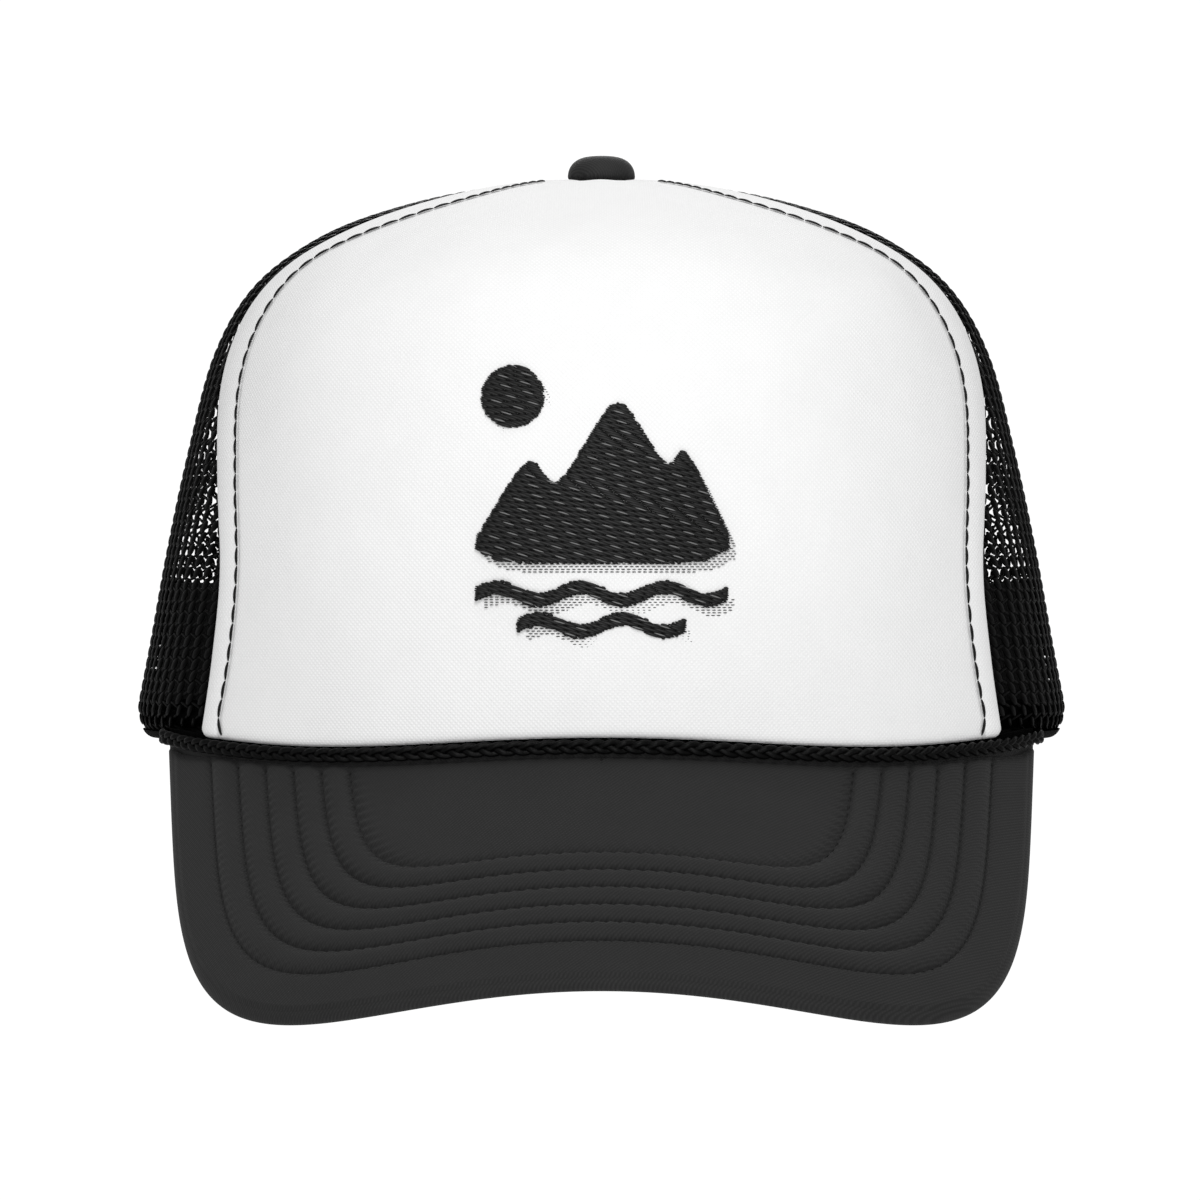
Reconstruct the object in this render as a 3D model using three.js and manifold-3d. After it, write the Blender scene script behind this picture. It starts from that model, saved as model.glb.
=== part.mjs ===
// Five-panel trucker cap: foam front panel, open mesh sides and rear, stitched visor,
// covered top button and a two-strap snap closure over the rear opening.
// Millimetres, +Z up. The cap faces -Y. The origin is the middle of the head opening,
// at the height of the lower hem.

import * as THREE from 'three';
import { mergeVertices } from 'three/addons/utils/BufferGeometryUtils.js';
import Module from 'manifold-3d';

const wasm = await Module();
wasm.setup();

// ---------------------------------------------------------------- driving dimensions

// Outer crown profiles as [radius, height], from the hem to the top of the crown.
const FRONT_PROFILE = [[101, 0], [101.8, 20], [101.6, 40], [99.8, 60], [95.2, 79],
  [87.5, 93], [74.5, 103.2], [55.5, 110], [30, 114.6], [0, 116.7]];
const SIDE_PROFILE = [[98.5, 0], [94.4, 20], [90.5, 40], [85.9, 60], [80.3, 79.5],
  [72.3, 93], [60.1, 102.6], [46, 109], [26.5, 114.3], [0, 116.7]];
const REAR_PROFILE = [[100, 0], [97, 20], [93.5, 40], [88.5, 59], [80.5, 77],
  [71, 90], [58, 101], [42, 108.8], [23, 114.2], [0, 116.7]];

// Bearings of the foam panel's edge and of its topstitch, in degrees from the front,
// at eleven equal steps from the hem to the top.
const FOAM_EDGE_BEARINGS = [54, 52.7, 52.7, 56.7, 61.8, 62, 57.5, 49, 43.5, 40, 38];
const TOPSTITCH_BEARINGS = [50.5, 48.4, 48.1, 50.7, 53.9, 53, 48.5, 36, 28, 27, 30];
const SIDE_SEAM_BEARING = 115;

const GAP = 0.3;
const FOAM_THICKNESS = 2.6;
const MESH_THICKNESS = 1;
const TAPE_THICKNESS = 0.5;
const TAPE_WIDTH = 12;
const PANEL_TOP = 0.972;
const PROFILE_STEP = 1 / 20;
const BEARING_STEP = 6;

const BINDING_THICKNESS = 0.6;
const BINDING_WIDTH = 7;
const HEM_OUTER_LEG = 3.2;
const SWEATBAND_DEPTH = 3.8;
const SWEATBAND_THICKNESS = 1.2;
const SWEATBAND_TOP = 33;
const SWEATBAND_END = 152;
const SWEATBAND_FOOT = 0.8;
const LABEL_HALF_BEARING = 8;
const LABEL_HEIGHTS = [9, 29];
const LABEL_THICKNESS = 0.4;

const OPENING_HALF_WIDTH = 44.6;
const OPENING_STRAIGHT = 10;
const OPENING_HEIGHT = 48;
const OPENING_EDGE_TURN = 31.5;
const OPENING_FOOT = 0.2;

const VISOR_SLOPE = THREE.MathUtils.degToRad(35.9);
const VISOR_ROOT = { y: -101.4, z: -3.4 };
const VISOR_BEND_RADIUS = 122.7;
const VISOR_OUTLINE = { halfWidth: 87.4, back: -48, front: 62.8, taper: 0.091, power: 4.7 };
const VISOR_CORNER = 0.863;
const VISOR_COVER = 0.5;
const VISOR_GAP = 0.4;
const VISOR_BOARD = 1.2;
const VISOR_LIFT_LENGTH = 25;
const VISOR_ROW_COUNT = 6;
const VISOR_ROW = { halfWidth: 78.9, widthStep: 5.35, front: 51.1, frontStep: 5.1,
  taper: 0.089, power: 5.5, powerStep: 0.26 };
const VISOR_BOARD_INSET = 0.8;
const ROOT_PEAK = -1;
const ROOT_DIP = 1.05;
const ROOT_DIP_BEARING = 34;
const ROOT_TO_HEM = 3.6;
const HEM_LEVELLING = [66, 80];
const ROOT_FLATTENING = 50;
const BRAID_RADIUS = 1.35;
const BRAID_END = 65;
const BRAID_STEP = 5;
const THREAD_RADIUS = 0.3;
const TOPSTITCH_SHARES = { from: 0.015, to: 0.9, step: 0.0295 };
const EMBROIDERY_THICKNESS = 0.8;

const BUTTON_RADIUS = 7.05;
const BUTTON_BASE = 116.9;
const BUTTON_TOP = 122.3;
const BUTTON_RIM = BUTTON_BASE + 1.2;
const COVER_THICKNESS = 0.6;
const COVER_MOUTH_RADIUS = 4.6;
const SHELL_THICKNESS = 0.5;
const SHANK_RADIUS = 1.5;
const SHANK_HEAD_RADIUS = 3;
const SHANK_HEAD_THICKNESS = 1;
const SHANK_END = 112.3;
const BACK_PLATE = { radius: 7, bottom: 110.9, rim: 111.7, top: 112.2 };

const STRAP_LOW = 1.5;
const STRAP_HIGH = 19.5;
const STRAP_THICKNESS = 1.2;
const STRAP_DEPTH = 2.2;
const STRAP_LAP = 0.4;
const STRAP_ROOT = 25.6;
const STRAP_TIP = -14.1;
const ANCHOR_GAP = 0.4;
const ANCHOR_LENGTH = 9.5;
const SNAP_COUNT = 7;
const SNAP_PITCH = 5.6;
const FIRST_SNAP = 4 * SNAP_PITCH;
const STUD_RADIUS = 2;
const HOLE_RADIUS = 2.6;
const STUD_HEIGHT = 2.3;

const { degToRad, clamp, lerp, smoothstep } = THREE.MathUtils;

// ---------------------------------------------------------------- finishes

const finish = (color, roughness, metalness = 0) =>
  new THREE.MeshStandardMaterial({ color, roughness, metalness });
const FOAM_WHITE = () => finish(0xf0f0f0, 0.9);
const MESH_BLACK = () => finish(0x0b0b0b, 0.75);
const TAPE_BLACK = () => finish(0x151515, 0.85);
const SWEAT_BLACK = () => finish(0x1a1a1a, 0.95);
const VISOR_CHARCOAL = () => finish(0x303030, 0.88);
const BRAID_DARK = () => finish(0x242424, 0.7);
const THREAD_DARK = () => finish(0x191919, 0.6);
const BOARD_WHITE = () => finish(0xd8d8d2, 0.6);
const STRAP_BLACK = () => finish(0x101010, 0.4);
const LABEL_WHITE = () => finish(0xe6e6e2, 0.8);
const BARE_METAL = () => finish(0xb9bcc0, 0.35, 1);

const cap = new THREE.Group();

function addPiece(name, geometry, material) {
  const mesh = new THREE.Mesh(geometry, material);
  mesh.name = name;
  cap.add(mesh);
}

// ---------------------------------------------------------------- solids

// Welds a geometry's corners and turns its faces outwards.
function closed(geometry) {
  geometry.deleteAttribute('normal');
  geometry.deleteAttribute('uv');
  const welded = mergeVertices(geometry, 1e-4);
  const corners = welded.attributes.position;
  const index = welded.index.array;
  const [a, b, c] = [new THREE.Vector3(), new THREE.Vector3(), new THREE.Vector3()];
  let volume = 0;
  for (let i = 0; i < index.length; i += 3) {
    a.fromBufferAttribute(corners, index[i]);
    b.fromBufferAttribute(corners, index[i + 1]);
    c.fromBufferAttribute(corners, index[i + 2]);
    volume += a.dot(b.cross(c));
  }
  if (volume < 0) {
    for (let i = 0; i < index.length; i += 3) {
      [index[i + 1], index[i + 2]] = [index[i + 2], index[i + 1]];
    }
  }
  welded.computeVertexNormals();
  return welded;
}

// A slab divided along its length (u) and width (v), with each corner placed by
// place(u, v, w). All three run from 0 to 1, and w is 0 on the back face.
function bentSlab(lengthSteps, widthSteps, place) {
  const slab = new THREE.BoxGeometry(1, 1, 1, lengthSteps, widthSteps, 1);
  const corners = slab.attributes.position;
  for (let i = 0; i < corners.count; i += 1) {
    const spot = place(corners.getX(i) + 0.5, corners.getY(i) + 0.5, corners.getZ(i) + 0.5);
    corners.setXYZ(i, spot.x, spot.y, spot.z);
  }
  return closed(slab);
}

function toSolid(geometry) {
  const welded = closed(geometry.clone());
  return new wasm.Manifold(new wasm.Mesh({
    numProp: 3,
    vertProperties: new Float32Array(welded.attributes.position.array),
    triVerts: new Uint32Array(welded.index.array),
  }));
}

function toGeometry(solid) {
  const mesh = solid.getMesh();
  const geometry = new THREE.BufferGeometry();
  geometry.setAttribute('position', new THREE.BufferAttribute(mesh.vertProperties, 3));
  geometry.setIndex(new THREE.BufferAttribute(mesh.triVerts, 1));
  return geometry;
}

const cut = (body, tool) => toGeometry(toSolid(body).subtract(toSolid(tool)));
const common = (body, tool) => toGeometry(toSolid(body).intersect(toSolid(tool)));
const joined = (body, tool) => toGeometry(toSolid(body).add(toSolid(tool)));

// A round thread or cord through the given points, with flat ends.
function cordAlong(points, radius, sides) {
  const path = new THREE.CatmullRomCurve3(points);
  const section = new THREE.Shape();
  for (let i = 0; i < sides; i += 1) {
    const turn = (2 * Math.PI * i) / sides;
    const [x, y] = [radius * Math.cos(turn), radius * Math.sin(turn)];
    if (i === 0) {
      section.moveTo(x, y);
    } else {
      section.lineTo(x, y);
    }
  }
  section.closePath();
  const steps = points.length - 1;
  return closed(new THREE.ExtrudeGeometry(section, { steps, extrudePath: path }));
}

// ---------------------------------------------------------------- crown surface

// A smooth curve through a profile's points, with share running from 0 to 1.
function alongProfile(profile, share) {
  const last = profile.length - 1;
  const place = clamp(share, 0, 1) * last;
  const step = Math.min(Math.floor(place), last - 1);
  const f = place - step;
  const [first, second] = profile;
  const before = step > 0 ? profile[step - 1]
    : [2 * first[0] - second[0], 2 * first[1] - second[1]];
  const after = step < last - 1 ? profile[step + 2]
    : [-profile[last - 1][0], profile[last - 1][1]];
  const blend = (a, b, c, d) => b + 0.5 * f * (c - a + f * (2 * a - 5 * b + 4 * c - d
    + f * (3 * (b - c) + d - a)));
  return [0, 1].map((k) => blend(before[k], profile[step][k], profile[step + 1][k], after[k]));
}

// The outer crown surface at a bearing in degrees (0 at the front, positive towards +X)
// and a share of the way from the hem to the top.
function crownPoint(bearing, share) {
  const turn = degToRad(bearing);
  const [c, c2] = [Math.cos(turn), Math.cos(2 * turn)];
  const [front, side, rear] = [FRONT_PROFILE, SIDE_PROFILE, REAR_PROFILE]
    .map((profile) => alongProfile(profile, share));
  const mix = (k) => (0.25 + 0.5 * c + 0.25 * c2) * front[k] + (0.5 - 0.5 * c2) * side[k]
    + (0.25 - 0.5 * c + 0.25 * c2) * rear[k];
  const radius = mix(0);
  return new THREE.Vector3(radius * Math.sin(turn), -radius * c, mix(1));
}

function crownNormal(bearing, share) {
  const nudge = 1e-3;
  const across = crownPoint(bearing + 0.1, share).sub(crownPoint(bearing - 0.1, share));
  const up = crownPoint(bearing, Math.min(share + nudge, 1))
    .sub(crownPoint(bearing, Math.max(share - nudge, 0)));
  return across.cross(up).normalize();
}

// A point beneath (negative) or above (positive) the outer crown surface.
function crownOffset(bearing, share, offset) {
  return crownPoint(bearing, share).addScaledVector(crownNormal(bearing, share), offset);
}

// The share of the profile at which the crown reaches a height.
function shareAtHeight(bearing, height) {
  let [low, high] = [0, 1];
  for (let i = 0; i < 30; i += 1) {
    const middle = (low + high) / 2;
    if (crownPoint(bearing, middle).z < height) {
      low = middle;
    } else {
      high = middle;
    }
  }
  return (low + high) / 2;
}

function bearingAt(table, share) {
  const pairs = table.map((bearing, i) => [bearing, i]);
  return alongProfile([...pairs, [table.at(-1), table.length]],
    (share * (table.length - 1)) / table.length)[0];
}

const foamEdge = (share) => bearingAt(FOAM_EDGE_BEARINGS, share);
const arcToDegrees = (length, bearing, share) =>
  THREE.MathUtils.radToDeg(length / Math.hypot(
    crownPoint(bearing, share).x, crownPoint(bearing, share).y));

// Top of the visor where it meets the crown: high in the middle, dipping at each side.
const visorRootHeight = (bearing) => ROOT_PEAK - ROOT_DIP * (1 - Math.cos(Math.PI
  * Math.min(Math.abs(bearing) / ROOT_DIP_BEARING, 2)));

// Lower edge of the crown: it clears the visor braid at the front and is level behind.
const hemHeight = (bearing) => (visorRootHeight(bearing) + ROOT_TO_HEM)
  * (1 - smoothstep(Math.abs(bearing), ...HEM_LEVELLING));

// Even stations between two limits, at whole multiples of a step.
function stations(low, high, step) {
  const list = [low];
  for (let i = Math.ceil((low + 0.2 * step) / step); i * step < high - 0.2 * step; i += 1) {
    list.push(i * step);
  }
  list.push(high);
  return list;
}
const pick = (list, share) => list[Math.round(share * (list.length - 1))];

// A crown layer between two offsets. from(share) and to(share) give its side edges as
// bearings, and bottom(bearing) its lower edge's height.
function crownLayer({ from, to, bottom, top = PANEL_TOP, columns, low, high }) {
  const rows = stations(0, top, PROFILE_STEP);
  return bentSlab(columns, rows.length - 1, (u, v, w) => {
    const level = pick(rows, v);
    const bearing = lerp(from(level), to(level), u);
    const foot = shareAtHeight(bearing, bottom(bearing));
    const share = Math.max(level, foot + (v * PROFILE_STEP) / 2);
    const placed = lerp(from(share), to(share), u);
    return crownOffset(placed, share, lerp(low, high, w));
  });
}

// ---------------------------------------------------------------- crown panels and tapes

// Half the gap left between two panels at a seam, as a turn.
const seamGap = (bearing, share) => arcToDegrees(GAP / 2, bearing, share);

addPiece('front_foam_panel', crownLayer({
  from: (share) => -foamEdge(share) + seamGap(foamEdge(share), share),
  to: (share) => foamEdge(share) - seamGap(foamEdge(share), share),
  bottom: hemHeight,
  columns: 20,
  low: -FOAM_THICKNESS,
  high: 0,
}), FOAM_WHITE());

// The rear opening as an upright arch, grown by a margin and open below the hem.
function openingArch(margin) {
  const halfWidth = OPENING_HALF_WIDTH + margin;
  const rise = OPENING_HEIGHT - OPENING_STRAIGHT + margin;
  const below = -20;
  const arch = new THREE.Shape();
  arch.moveTo(halfWidth, below);
  arch.lineTo(halfWidth, OPENING_STRAIGHT);
  arch.absellipse(0, OPENING_STRAIGHT, halfWidth, rise, 0, Math.PI);
  arch.lineTo(-halfWidth, below);
  arch.closePath();
  return arch;
}

// A prism of an outline drawn in X and Z, running through the cap from one Y to another.
function prismThrough(outline, fromY, toY, curveSegments = 12) {
  const prism = new THREE.ExtrudeGeometry(outline,
    { depth: toY - fromY, bevelEnabled: false, curveSegments });
  prism.rotateX(Math.PI / 2);
  prism.translate(0, toY, 0);
  return prism;
}

const MESH_EDGE_INSET = 2.4;
const REAR_OF_CAP = [55, 130];
const openingTool = prismThrough(openingArch(MESH_EDGE_INSET), ...REAR_OF_CAP, 10);
const meshFoot = (bearing) => hemHeight(bearing) + MESH_EDGE_INSET;

// A tape under a seam. It narrows over the last part of the way to the button.
const TAPE_NARROWING = 0.12;
const TAPE_LEAST = 0.35;
function tapeAlong(bearingOf, side, depth, bottom) {
  const half = (share, bearing) => arcToDegrees(TAPE_WIDTH / 2, bearing, share)
    * clamp((1 - share) / TAPE_NARROWING, TAPE_LEAST, 1);
  return crownLayer({
    from: (share) => side * bearingOf(share) - half(share, side * bearingOf(share)),
    to: (share) => side * bearingOf(share) + half(share, side * bearingOf(share)),
    bottom,
    columns: 2,
    low: -depth - GAP - TAPE_THICKNESS,
    high: -depth - GAP,
  });
}

for (const [side, word] of [[-1, 'left'], [1, 'right']]) {
  const frontEdge = (share) => side * (foamEdge(share) + seamGap(foamEdge(share), share));
  const sideGap = (share) => seamGap(SIDE_SEAM_BEARING, share);
  const seamFront = (share) => side * (SIDE_SEAM_BEARING - sideGap(share));
  const seamRear = (share) => side * (SIDE_SEAM_BEARING + sideGap(share));
  const middle = (share) => side * (180 - seamGap(180, share));
  const layer = { bottom: meshFoot, low: -MESH_THICKNESS, high: 0 };
  addPiece(`side_mesh_${word}`,
    crownLayer({ ...layer, from: frontEdge, to: seamFront, columns: 10 }), MESH_BLACK());
  const rear = crownLayer({ ...layer, from: seamRear, to: middle, columns: 11 });
  addPiece(`rear_mesh_${word}`, cut(rear, openingTool), MESH_BLACK());
  addPiece(`front_seam_tape_${word}`,
    tapeAlong(foamEdge, side, FOAM_THICKNESS, (b) => hemHeight(b) + 1), TAPE_BLACK());
  addPiece(`side_seam_tape_${word}`,
    tapeAlong(() => SIDE_SEAM_BEARING, side, MESH_THICKNESS, () => BINDING_WIDTH + 1),
    TAPE_BLACK());
}
addPiece('rear_seam_tape', tapeAlong(() => 180, 1, MESH_THICKNESS,
  () => OPENING_HEIGHT + BINDING_WIDTH + 1), TAPE_BLACK());

// ---------------------------------------------------------------- bindings and sweatband

// A binding folded over an edge: edge is the edge point, inward runs from the edge into
// the panel, and outward leaves the crown. v goes from one leg's end to the other's. The
// legs curve with the crown, whose radius along them is bend. The outer leg comes first.
const BINDING_STEPS = 4;
function foldedBinding(edge, inward, outward, { bend, outerLeg }, v, w) {
  const legShare = 1 / BINDING_STEPS;
  const midRadius = MESH_THICKNESS / 2 + GAP + BINDING_THICKNESS / 2;
  const outerRadius = midRadius + BINDING_THICKNESS / 2;
  const shift = (w - 0.5) * BINDING_THICKNESS;
  let depth;
  let rise;
  if (v < legShare || v > 1 - legShare) {
    const along = Math.min(v, 1 - v) / legShare;
    depth = lerp(v < legShare ? outerLeg : BINDING_WIDTH, outerRadius, along);
    rise = Math.sign(0.5 - v) * (midRadius + shift);
  } else {
    const turn = (Math.PI * (v - legShare)) / (1 - 2 * legShare);
    depth = outerRadius - (midRadius + shift) * Math.sin(turn);
    rise = (midRadius + shift) * Math.cos(turn);
  }
  return edge.clone().addScaledVector(inward, depth)
    .addScaledVector(outward, rise - MESH_THICKNESS / 2 - depth ** 2 / (2 * bend));
}
const HEM_FOLD = { bend: 1000, outerLeg: HEM_OUTER_LEG };
const OPENING_FOLD = { bend: 110, outerLeg: BINDING_WIDTH };
const HEM_START = foamEdge(0.05) + 0.5;
const UP_STEP = 0.03;

for (const [side, word] of [[-1, 'left'], [1, 'right']]) {
  const bearings = stations(HEM_START, 180 - OPENING_EDGE_TURN, BEARING_STEP);
  addPiece(`hem_binding_${word}`, bentSlab(bearings.length - 1, BINDING_STEPS, (u, v, w) => {
    const bearing = side * pick(bearings, u);
    const share = shareAtHeight(bearing, hemHeight(bearing));
    const edge = crownPoint(bearing, share);
    const up = crownPoint(bearing, share + UP_STEP).sub(edge).normalize();
    return foldedBinding(edge, up, crownNormal(bearing, share), HEM_FOLD, v, w);
  }), TAPE_BLACK());
}

// The rear opening's edge, from the hem on one side over the arch to the other.
const openingEdge = new THREE.CurvePath();
openingEdge.add(new THREE.LineCurve(
  new THREE.Vector2(OPENING_HALF_WIDTH, OPENING_FOOT),
  new THREE.Vector2(OPENING_HALF_WIDTH, OPENING_STRAIGHT)));
openingEdge.add(new THREE.EllipseCurve(0, OPENING_STRAIGHT, OPENING_HALF_WIDTH,
  OPENING_HEIGHT - OPENING_STRAIGHT, 0, Math.PI));
openingEdge.add(new THREE.LineCurve(
  new THREE.Vector2(-OPENING_HALF_WIDTH, OPENING_STRAIGHT),
  new THREE.Vector2(-OPENING_HALF_WIDTH, OPENING_FOOT)));

// The bearing and share of the rear crown point that has a given X and height.
function rearSpot(x, height) {
  let bearing = 180;
  let share = 0;
  for (let i = 0; i < 8; i += 1) {
    share = shareAtHeight(bearing, height);
    const spot = crownPoint(bearing, share);
    bearing = 180 - THREE.MathUtils.radToDeg(Math.asin(x / Math.hypot(spot.x, spot.y)));
  }
  return { bearing, share };
}

const OPENING_STEPS = 24;
const openingPoints = openingEdge.getSpacedPoints(OPENING_STEPS);
addPiece('rear_opening_binding', bentSlab(OPENING_STEPS, BINDING_STEPS, (u, v, w) => {
  const i = Math.round(u * OPENING_STEPS);
  const [before, here, after] = [i - 1, i, i + 1]
    .map((k) => openingPoints[clamp(k, 0, OPENING_STEPS)])
    .map((p) => rearSpot(p.x, p.y));
  const edge = crownPoint(here.bearing, here.share);
  const outward = crownNormal(here.bearing, here.share);
  const along = crownPoint(after.bearing, after.share)
    .sub(crownPoint(before.bearing, before.share)).normalize();
  const inward = outward.clone().cross(along).normalize();
  return foldedBinding(edge, inward, outward, OPENING_FOLD, v, w);
}), TAPE_BLACK());

const sweatBearings = stations(-SWEATBAND_END, SWEATBAND_END, BEARING_STEP);
addPiece('sweatband', bentSlab(sweatBearings.length - 1, 2, (u, v, w) => {
  const bearing = pick(sweatBearings, u);
  const height = lerp(hemHeight(bearing) + SWEATBAND_FOOT, SWEATBAND_TOP, v);
  return crownOffset(bearing, shareAtHeight(bearing, height),
    -SWEATBAND_DEPTH - SWEATBAND_THICKNESS * (1 - w));
}), SWEAT_BLACK());

addPiece('size_label', bentSlab(4, 2, (u, v, w) => {
  const bearing = lerp(-LABEL_HALF_BEARING, LABEL_HALF_BEARING, u);
  const height = lerp(...LABEL_HEIGHTS, v);
  return crownOffset(bearing, shareAtHeight(bearing, height),
    -SWEATBAND_DEPTH - SWEATBAND_THICKNESS - GAP - LABEL_THICKNESS * (1 - w));
}), LABEL_WHITE());

// ---------------------------------------------------------------- visor

// Distances on the visor: across is along X, forward runs down its slope from the crown,
// and lift leaves its upper face.
function visorToCap(across, forward, lift) {
  const [c, s] = [Math.cos(VISOR_SLOPE), Math.sin(VISOR_SLOPE)];
  return new THREE.Vector3(across, VISOR_ROOT.y - forward * c - lift * s,
    VISOR_ROOT.z - forward * s + lift * c);
}

const visorSag = (across) => -(across ** 2) / (2 * VISOR_BEND_RADIUS);
const cornerSpot = visorToCap(VISOR_OUTLINE.halfWidth, VISOR_OUTLINE.back,
  visorSag(VISOR_OUTLINE.halfWidth));
const VISOR_CORNER_BEARING = THREE.MathUtils.radToDeg(Math.atan2(cornerSpot.x, -cornerSpot.y));
const rootInset = Math.hypot(cornerSpot.x, cornerSpot.y)
  - Math.hypot(crownPoint(VISOR_CORNER_BEARING, 0).x, crownPoint(VISOR_CORNER_BEARING, 0).y);

// The visor's rear line under the crown, at a bearing: its place across and forward, and
// how far its root stands above the plain bent board.
function visorRoot(bearing) {
  const hem = crownPoint(bearing, 0);
  const scale = 1 + rootInset / Math.hypot(hem.x, hem.y);
  const [x, y] = [hem.x * scale, hem.y * scale];
  const plain = VISOR_ROOT.z + visorSag(x) / Math.cos(VISOR_SLOPE)
    + Math.tan(VISOR_SLOPE) * (y - VISOR_ROOT.y);
  const lift = (visorRootHeight(bearing) - plain) * Math.cos(VISOR_SLOPE)
    * (1 - smoothstep(Math.abs(bearing), ROOT_FLATTENING, VISOR_CORNER_BEARING));
  const forward = (VISOR_ROOT.y - y - (visorSag(x) + lift) * Math.sin(VISOR_SLOPE))
    / Math.cos(VISOR_SLOPE);
  return { across: x, forward, lift };
}

function visorRootAcross(across) {
  let [low, high] = [0, VISOR_CORNER_BEARING];
  for (let i = 0; i < 24; i += 1) {
    const middle = (low + high) / 2;
    if (visorRoot(middle).across < Math.abs(across)) {
      low = middle;
    } else {
      high = middle;
    }
  }
  return visorRoot((low + high) / 2);
}

// Height of the visor's upper face: bent across, and lifted where it meets the crown.
function visorFace(across, forward) {
  const root = visorRootAcross(across);
  const nearness = clamp(1 - (forward - root.forward) / VISOR_LIFT_LENGTH, 0, 1);
  return visorSag(across) + root.lift * nearness ** 2;
}

// A point on a rounded visor outline; side runs from -1 to 1 across its front.
function outlineFront(outline, side) {
  const reach = (1 - Math.abs(side) ** outline.power) ** (1 / outline.power);
  const forward = lerp(VISOR_OUTLINE.back, outline.front, reach);
  const width = outline.halfWidth - outline.taper * (forward - VISOR_OUTLINE.back);
  return new THREE.Vector2(width * side, forward);
}

function outlineSide(outline, forward) {
  const reach = (forward - VISOR_OUTLINE.back) / (outline.front - VISOR_OUTLINE.back);
  const side = (1 - clamp(reach, 0, 1) ** outline.power) ** (1 / outline.power);
  return side * (outline.halfWidth - outline.taper * (forward - VISOR_OUTLINE.back));
}

// A patch across the visor between its root line, its sides and its front edge. u runs
// across and v forward, and the outline is shrunk by an inset at the sides and front.
function visorSpot(u, v, inset) {
  const outline = { ...VISOR_OUTLINE, halfWidth: VISOR_OUTLINE.halfWidth - inset,
    front: VISOR_OUTLINE.front - inset };
  const side = 2 * u - 1;
  const cornerBack = visorRootAcross(outline.halfWidth).forward;
  const rootWidth = outlineSide(outline, cornerBack);
  const corner = outlineFront(outline, VISOR_CORNER);
  const back = new THREE.Vector2(rootWidth * side, visorRootAcross(rootWidth * side).forward);
  const front = outlineFront(outline, VISOR_CORNER * side);
  const edgeWidth = outlineSide(outline, lerp(cornerBack, corner.y, v));
  const bulge = edgeWidth - lerp(rootWidth, corner.x, v);
  const spot = back.lerp(front, v);
  spot.x += bulge * side;
  return spot;
}

function visorLayer(inset, low, high) {
  return bentSlab(24, 9, (u, v, w) => {
    const spot = visorSpot(u, v, inset);
    return visorToCap(spot.x, spot.y, visorFace(spot.x, spot.y) + lerp(low, high, w));
  });
}

const boardTop = -VISOR_COVER - VISOR_GAP;
const boardBottom = boardTop - VISOR_BOARD;
addPiece('visor_top_cover', visorLayer(0, -VISOR_COVER, 0), VISOR_CHARCOAL());
addPiece('visor_board', visorLayer(VISOR_BOARD_INSET, boardBottom, boardTop), BOARD_WHITE());
addPiece('visor_under_cover',
  visorLayer(0, boardBottom - VISOR_GAP - VISOR_COVER, boardBottom - VISOR_GAP), VISOR_CHARCOAL());

// Six rows of stitching, each a rounded line that starts and ends at the crown.
for (let row = 0; row < VISOR_ROW_COUNT; row += 1) {
  const line = {
    halfWidth: VISOR_ROW.halfWidth - row * VISOR_ROW.widthStep,
    front: VISOR_ROW.front - row * VISOR_ROW.frontStep,
    taper: VISOR_ROW.taper,
    power: VISOR_ROW.power + row * VISOR_ROW.powerStep,
  };
  const half = [];
  for (const side of stations(0, VISOR_CORNER, VISOR_CORNER / 5)) {
    half.push(outlineFront(line, side));
  }
  const corner = half.at(-1).y;
  const end = visorRootAcross(line.halfWidth).forward + BRAID_RADIUS;
  for (const share of [0.3, 0.6, 0.8, 1]) {
    const forward = lerp(corner, end, share);
    half.push(new THREE.Vector2(outlineSide(line, forward), forward));
  }
  const other = half.slice(1).map((spot) => new THREE.Vector2(-spot.x, spot.y)).reverse();
  const points = [...other, ...half].map((spot) =>
    visorToCap(spot.x, spot.y, visorFace(spot.x, spot.y) + THREAD_RADIUS + GAP));
  addPiece(`visor_stitch_row_${row + 1}`, cordAlong(points, THREAD_RADIUS, 4), THREAD_DARK());
}

// The braid that covers the seam between the visor and the crown.
const BRAID_PROUD = 0.2;
const BRAID_RISE = ROOT_TO_HEM / 2 + 0.15;
const braidPoints = stations(-BRAID_END, BRAID_END, BRAID_STEP).map((bearing) => {
  const seat = crownOffset(bearing, 0, BRAID_PROUD);
  return new THREE.Vector3(seat.x, seat.y, visorRootHeight(bearing) + BRAID_RISE);
});
addPiece('visor_braid', cordAlong(braidPoints, BRAID_RADIUS, 6), BRAID_DARK());

// ---------------------------------------------------------------- front panel details

for (const [side, word] of [[-1, 'left'], [1, 'right']]) {
  const { from, to, step } = TOPSTITCH_SHARES;
  const points = stations(from, to, step).map((share) =>
    crownOffset(side * bearingAt(TOPSTITCH_BEARINGS, share), share, THREAD_RADIUS + GAP));
  addPiece(`front_topstitch_${word}`, cordAlong(points, THREAD_RADIUS, 4), THREAD_DARK());
}

// The embroidery stands on the foam panel: a mountain range, a sun and two waves.
const threadLayer = bentSlab(12, 9, (u, v, w) => {
  const bearing = lerp(-24, 24, u);
  const height = lerp(17, 82, v);
  return crownOffset(bearing, shareAtHeight(bearing, height), GAP + EMBROIDERY_THICKNESS * w);
});
const FRONT_OF_CAP = [-125, -70];

function outlineOf(points) {
  const shape = new THREE.Shape();
  shape.setFromPoints(points.map(([x, z]) => new THREE.Vector2(x, z)));
  shape.closePath();
  return shape;
}

function addEmbroidery(name, outline) {
  const prism = prismThrough(outline, ...FRONT_OF_CAP);
  addPiece(name, common(threadLayer, prism), THREAD_DARK());
}

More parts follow.
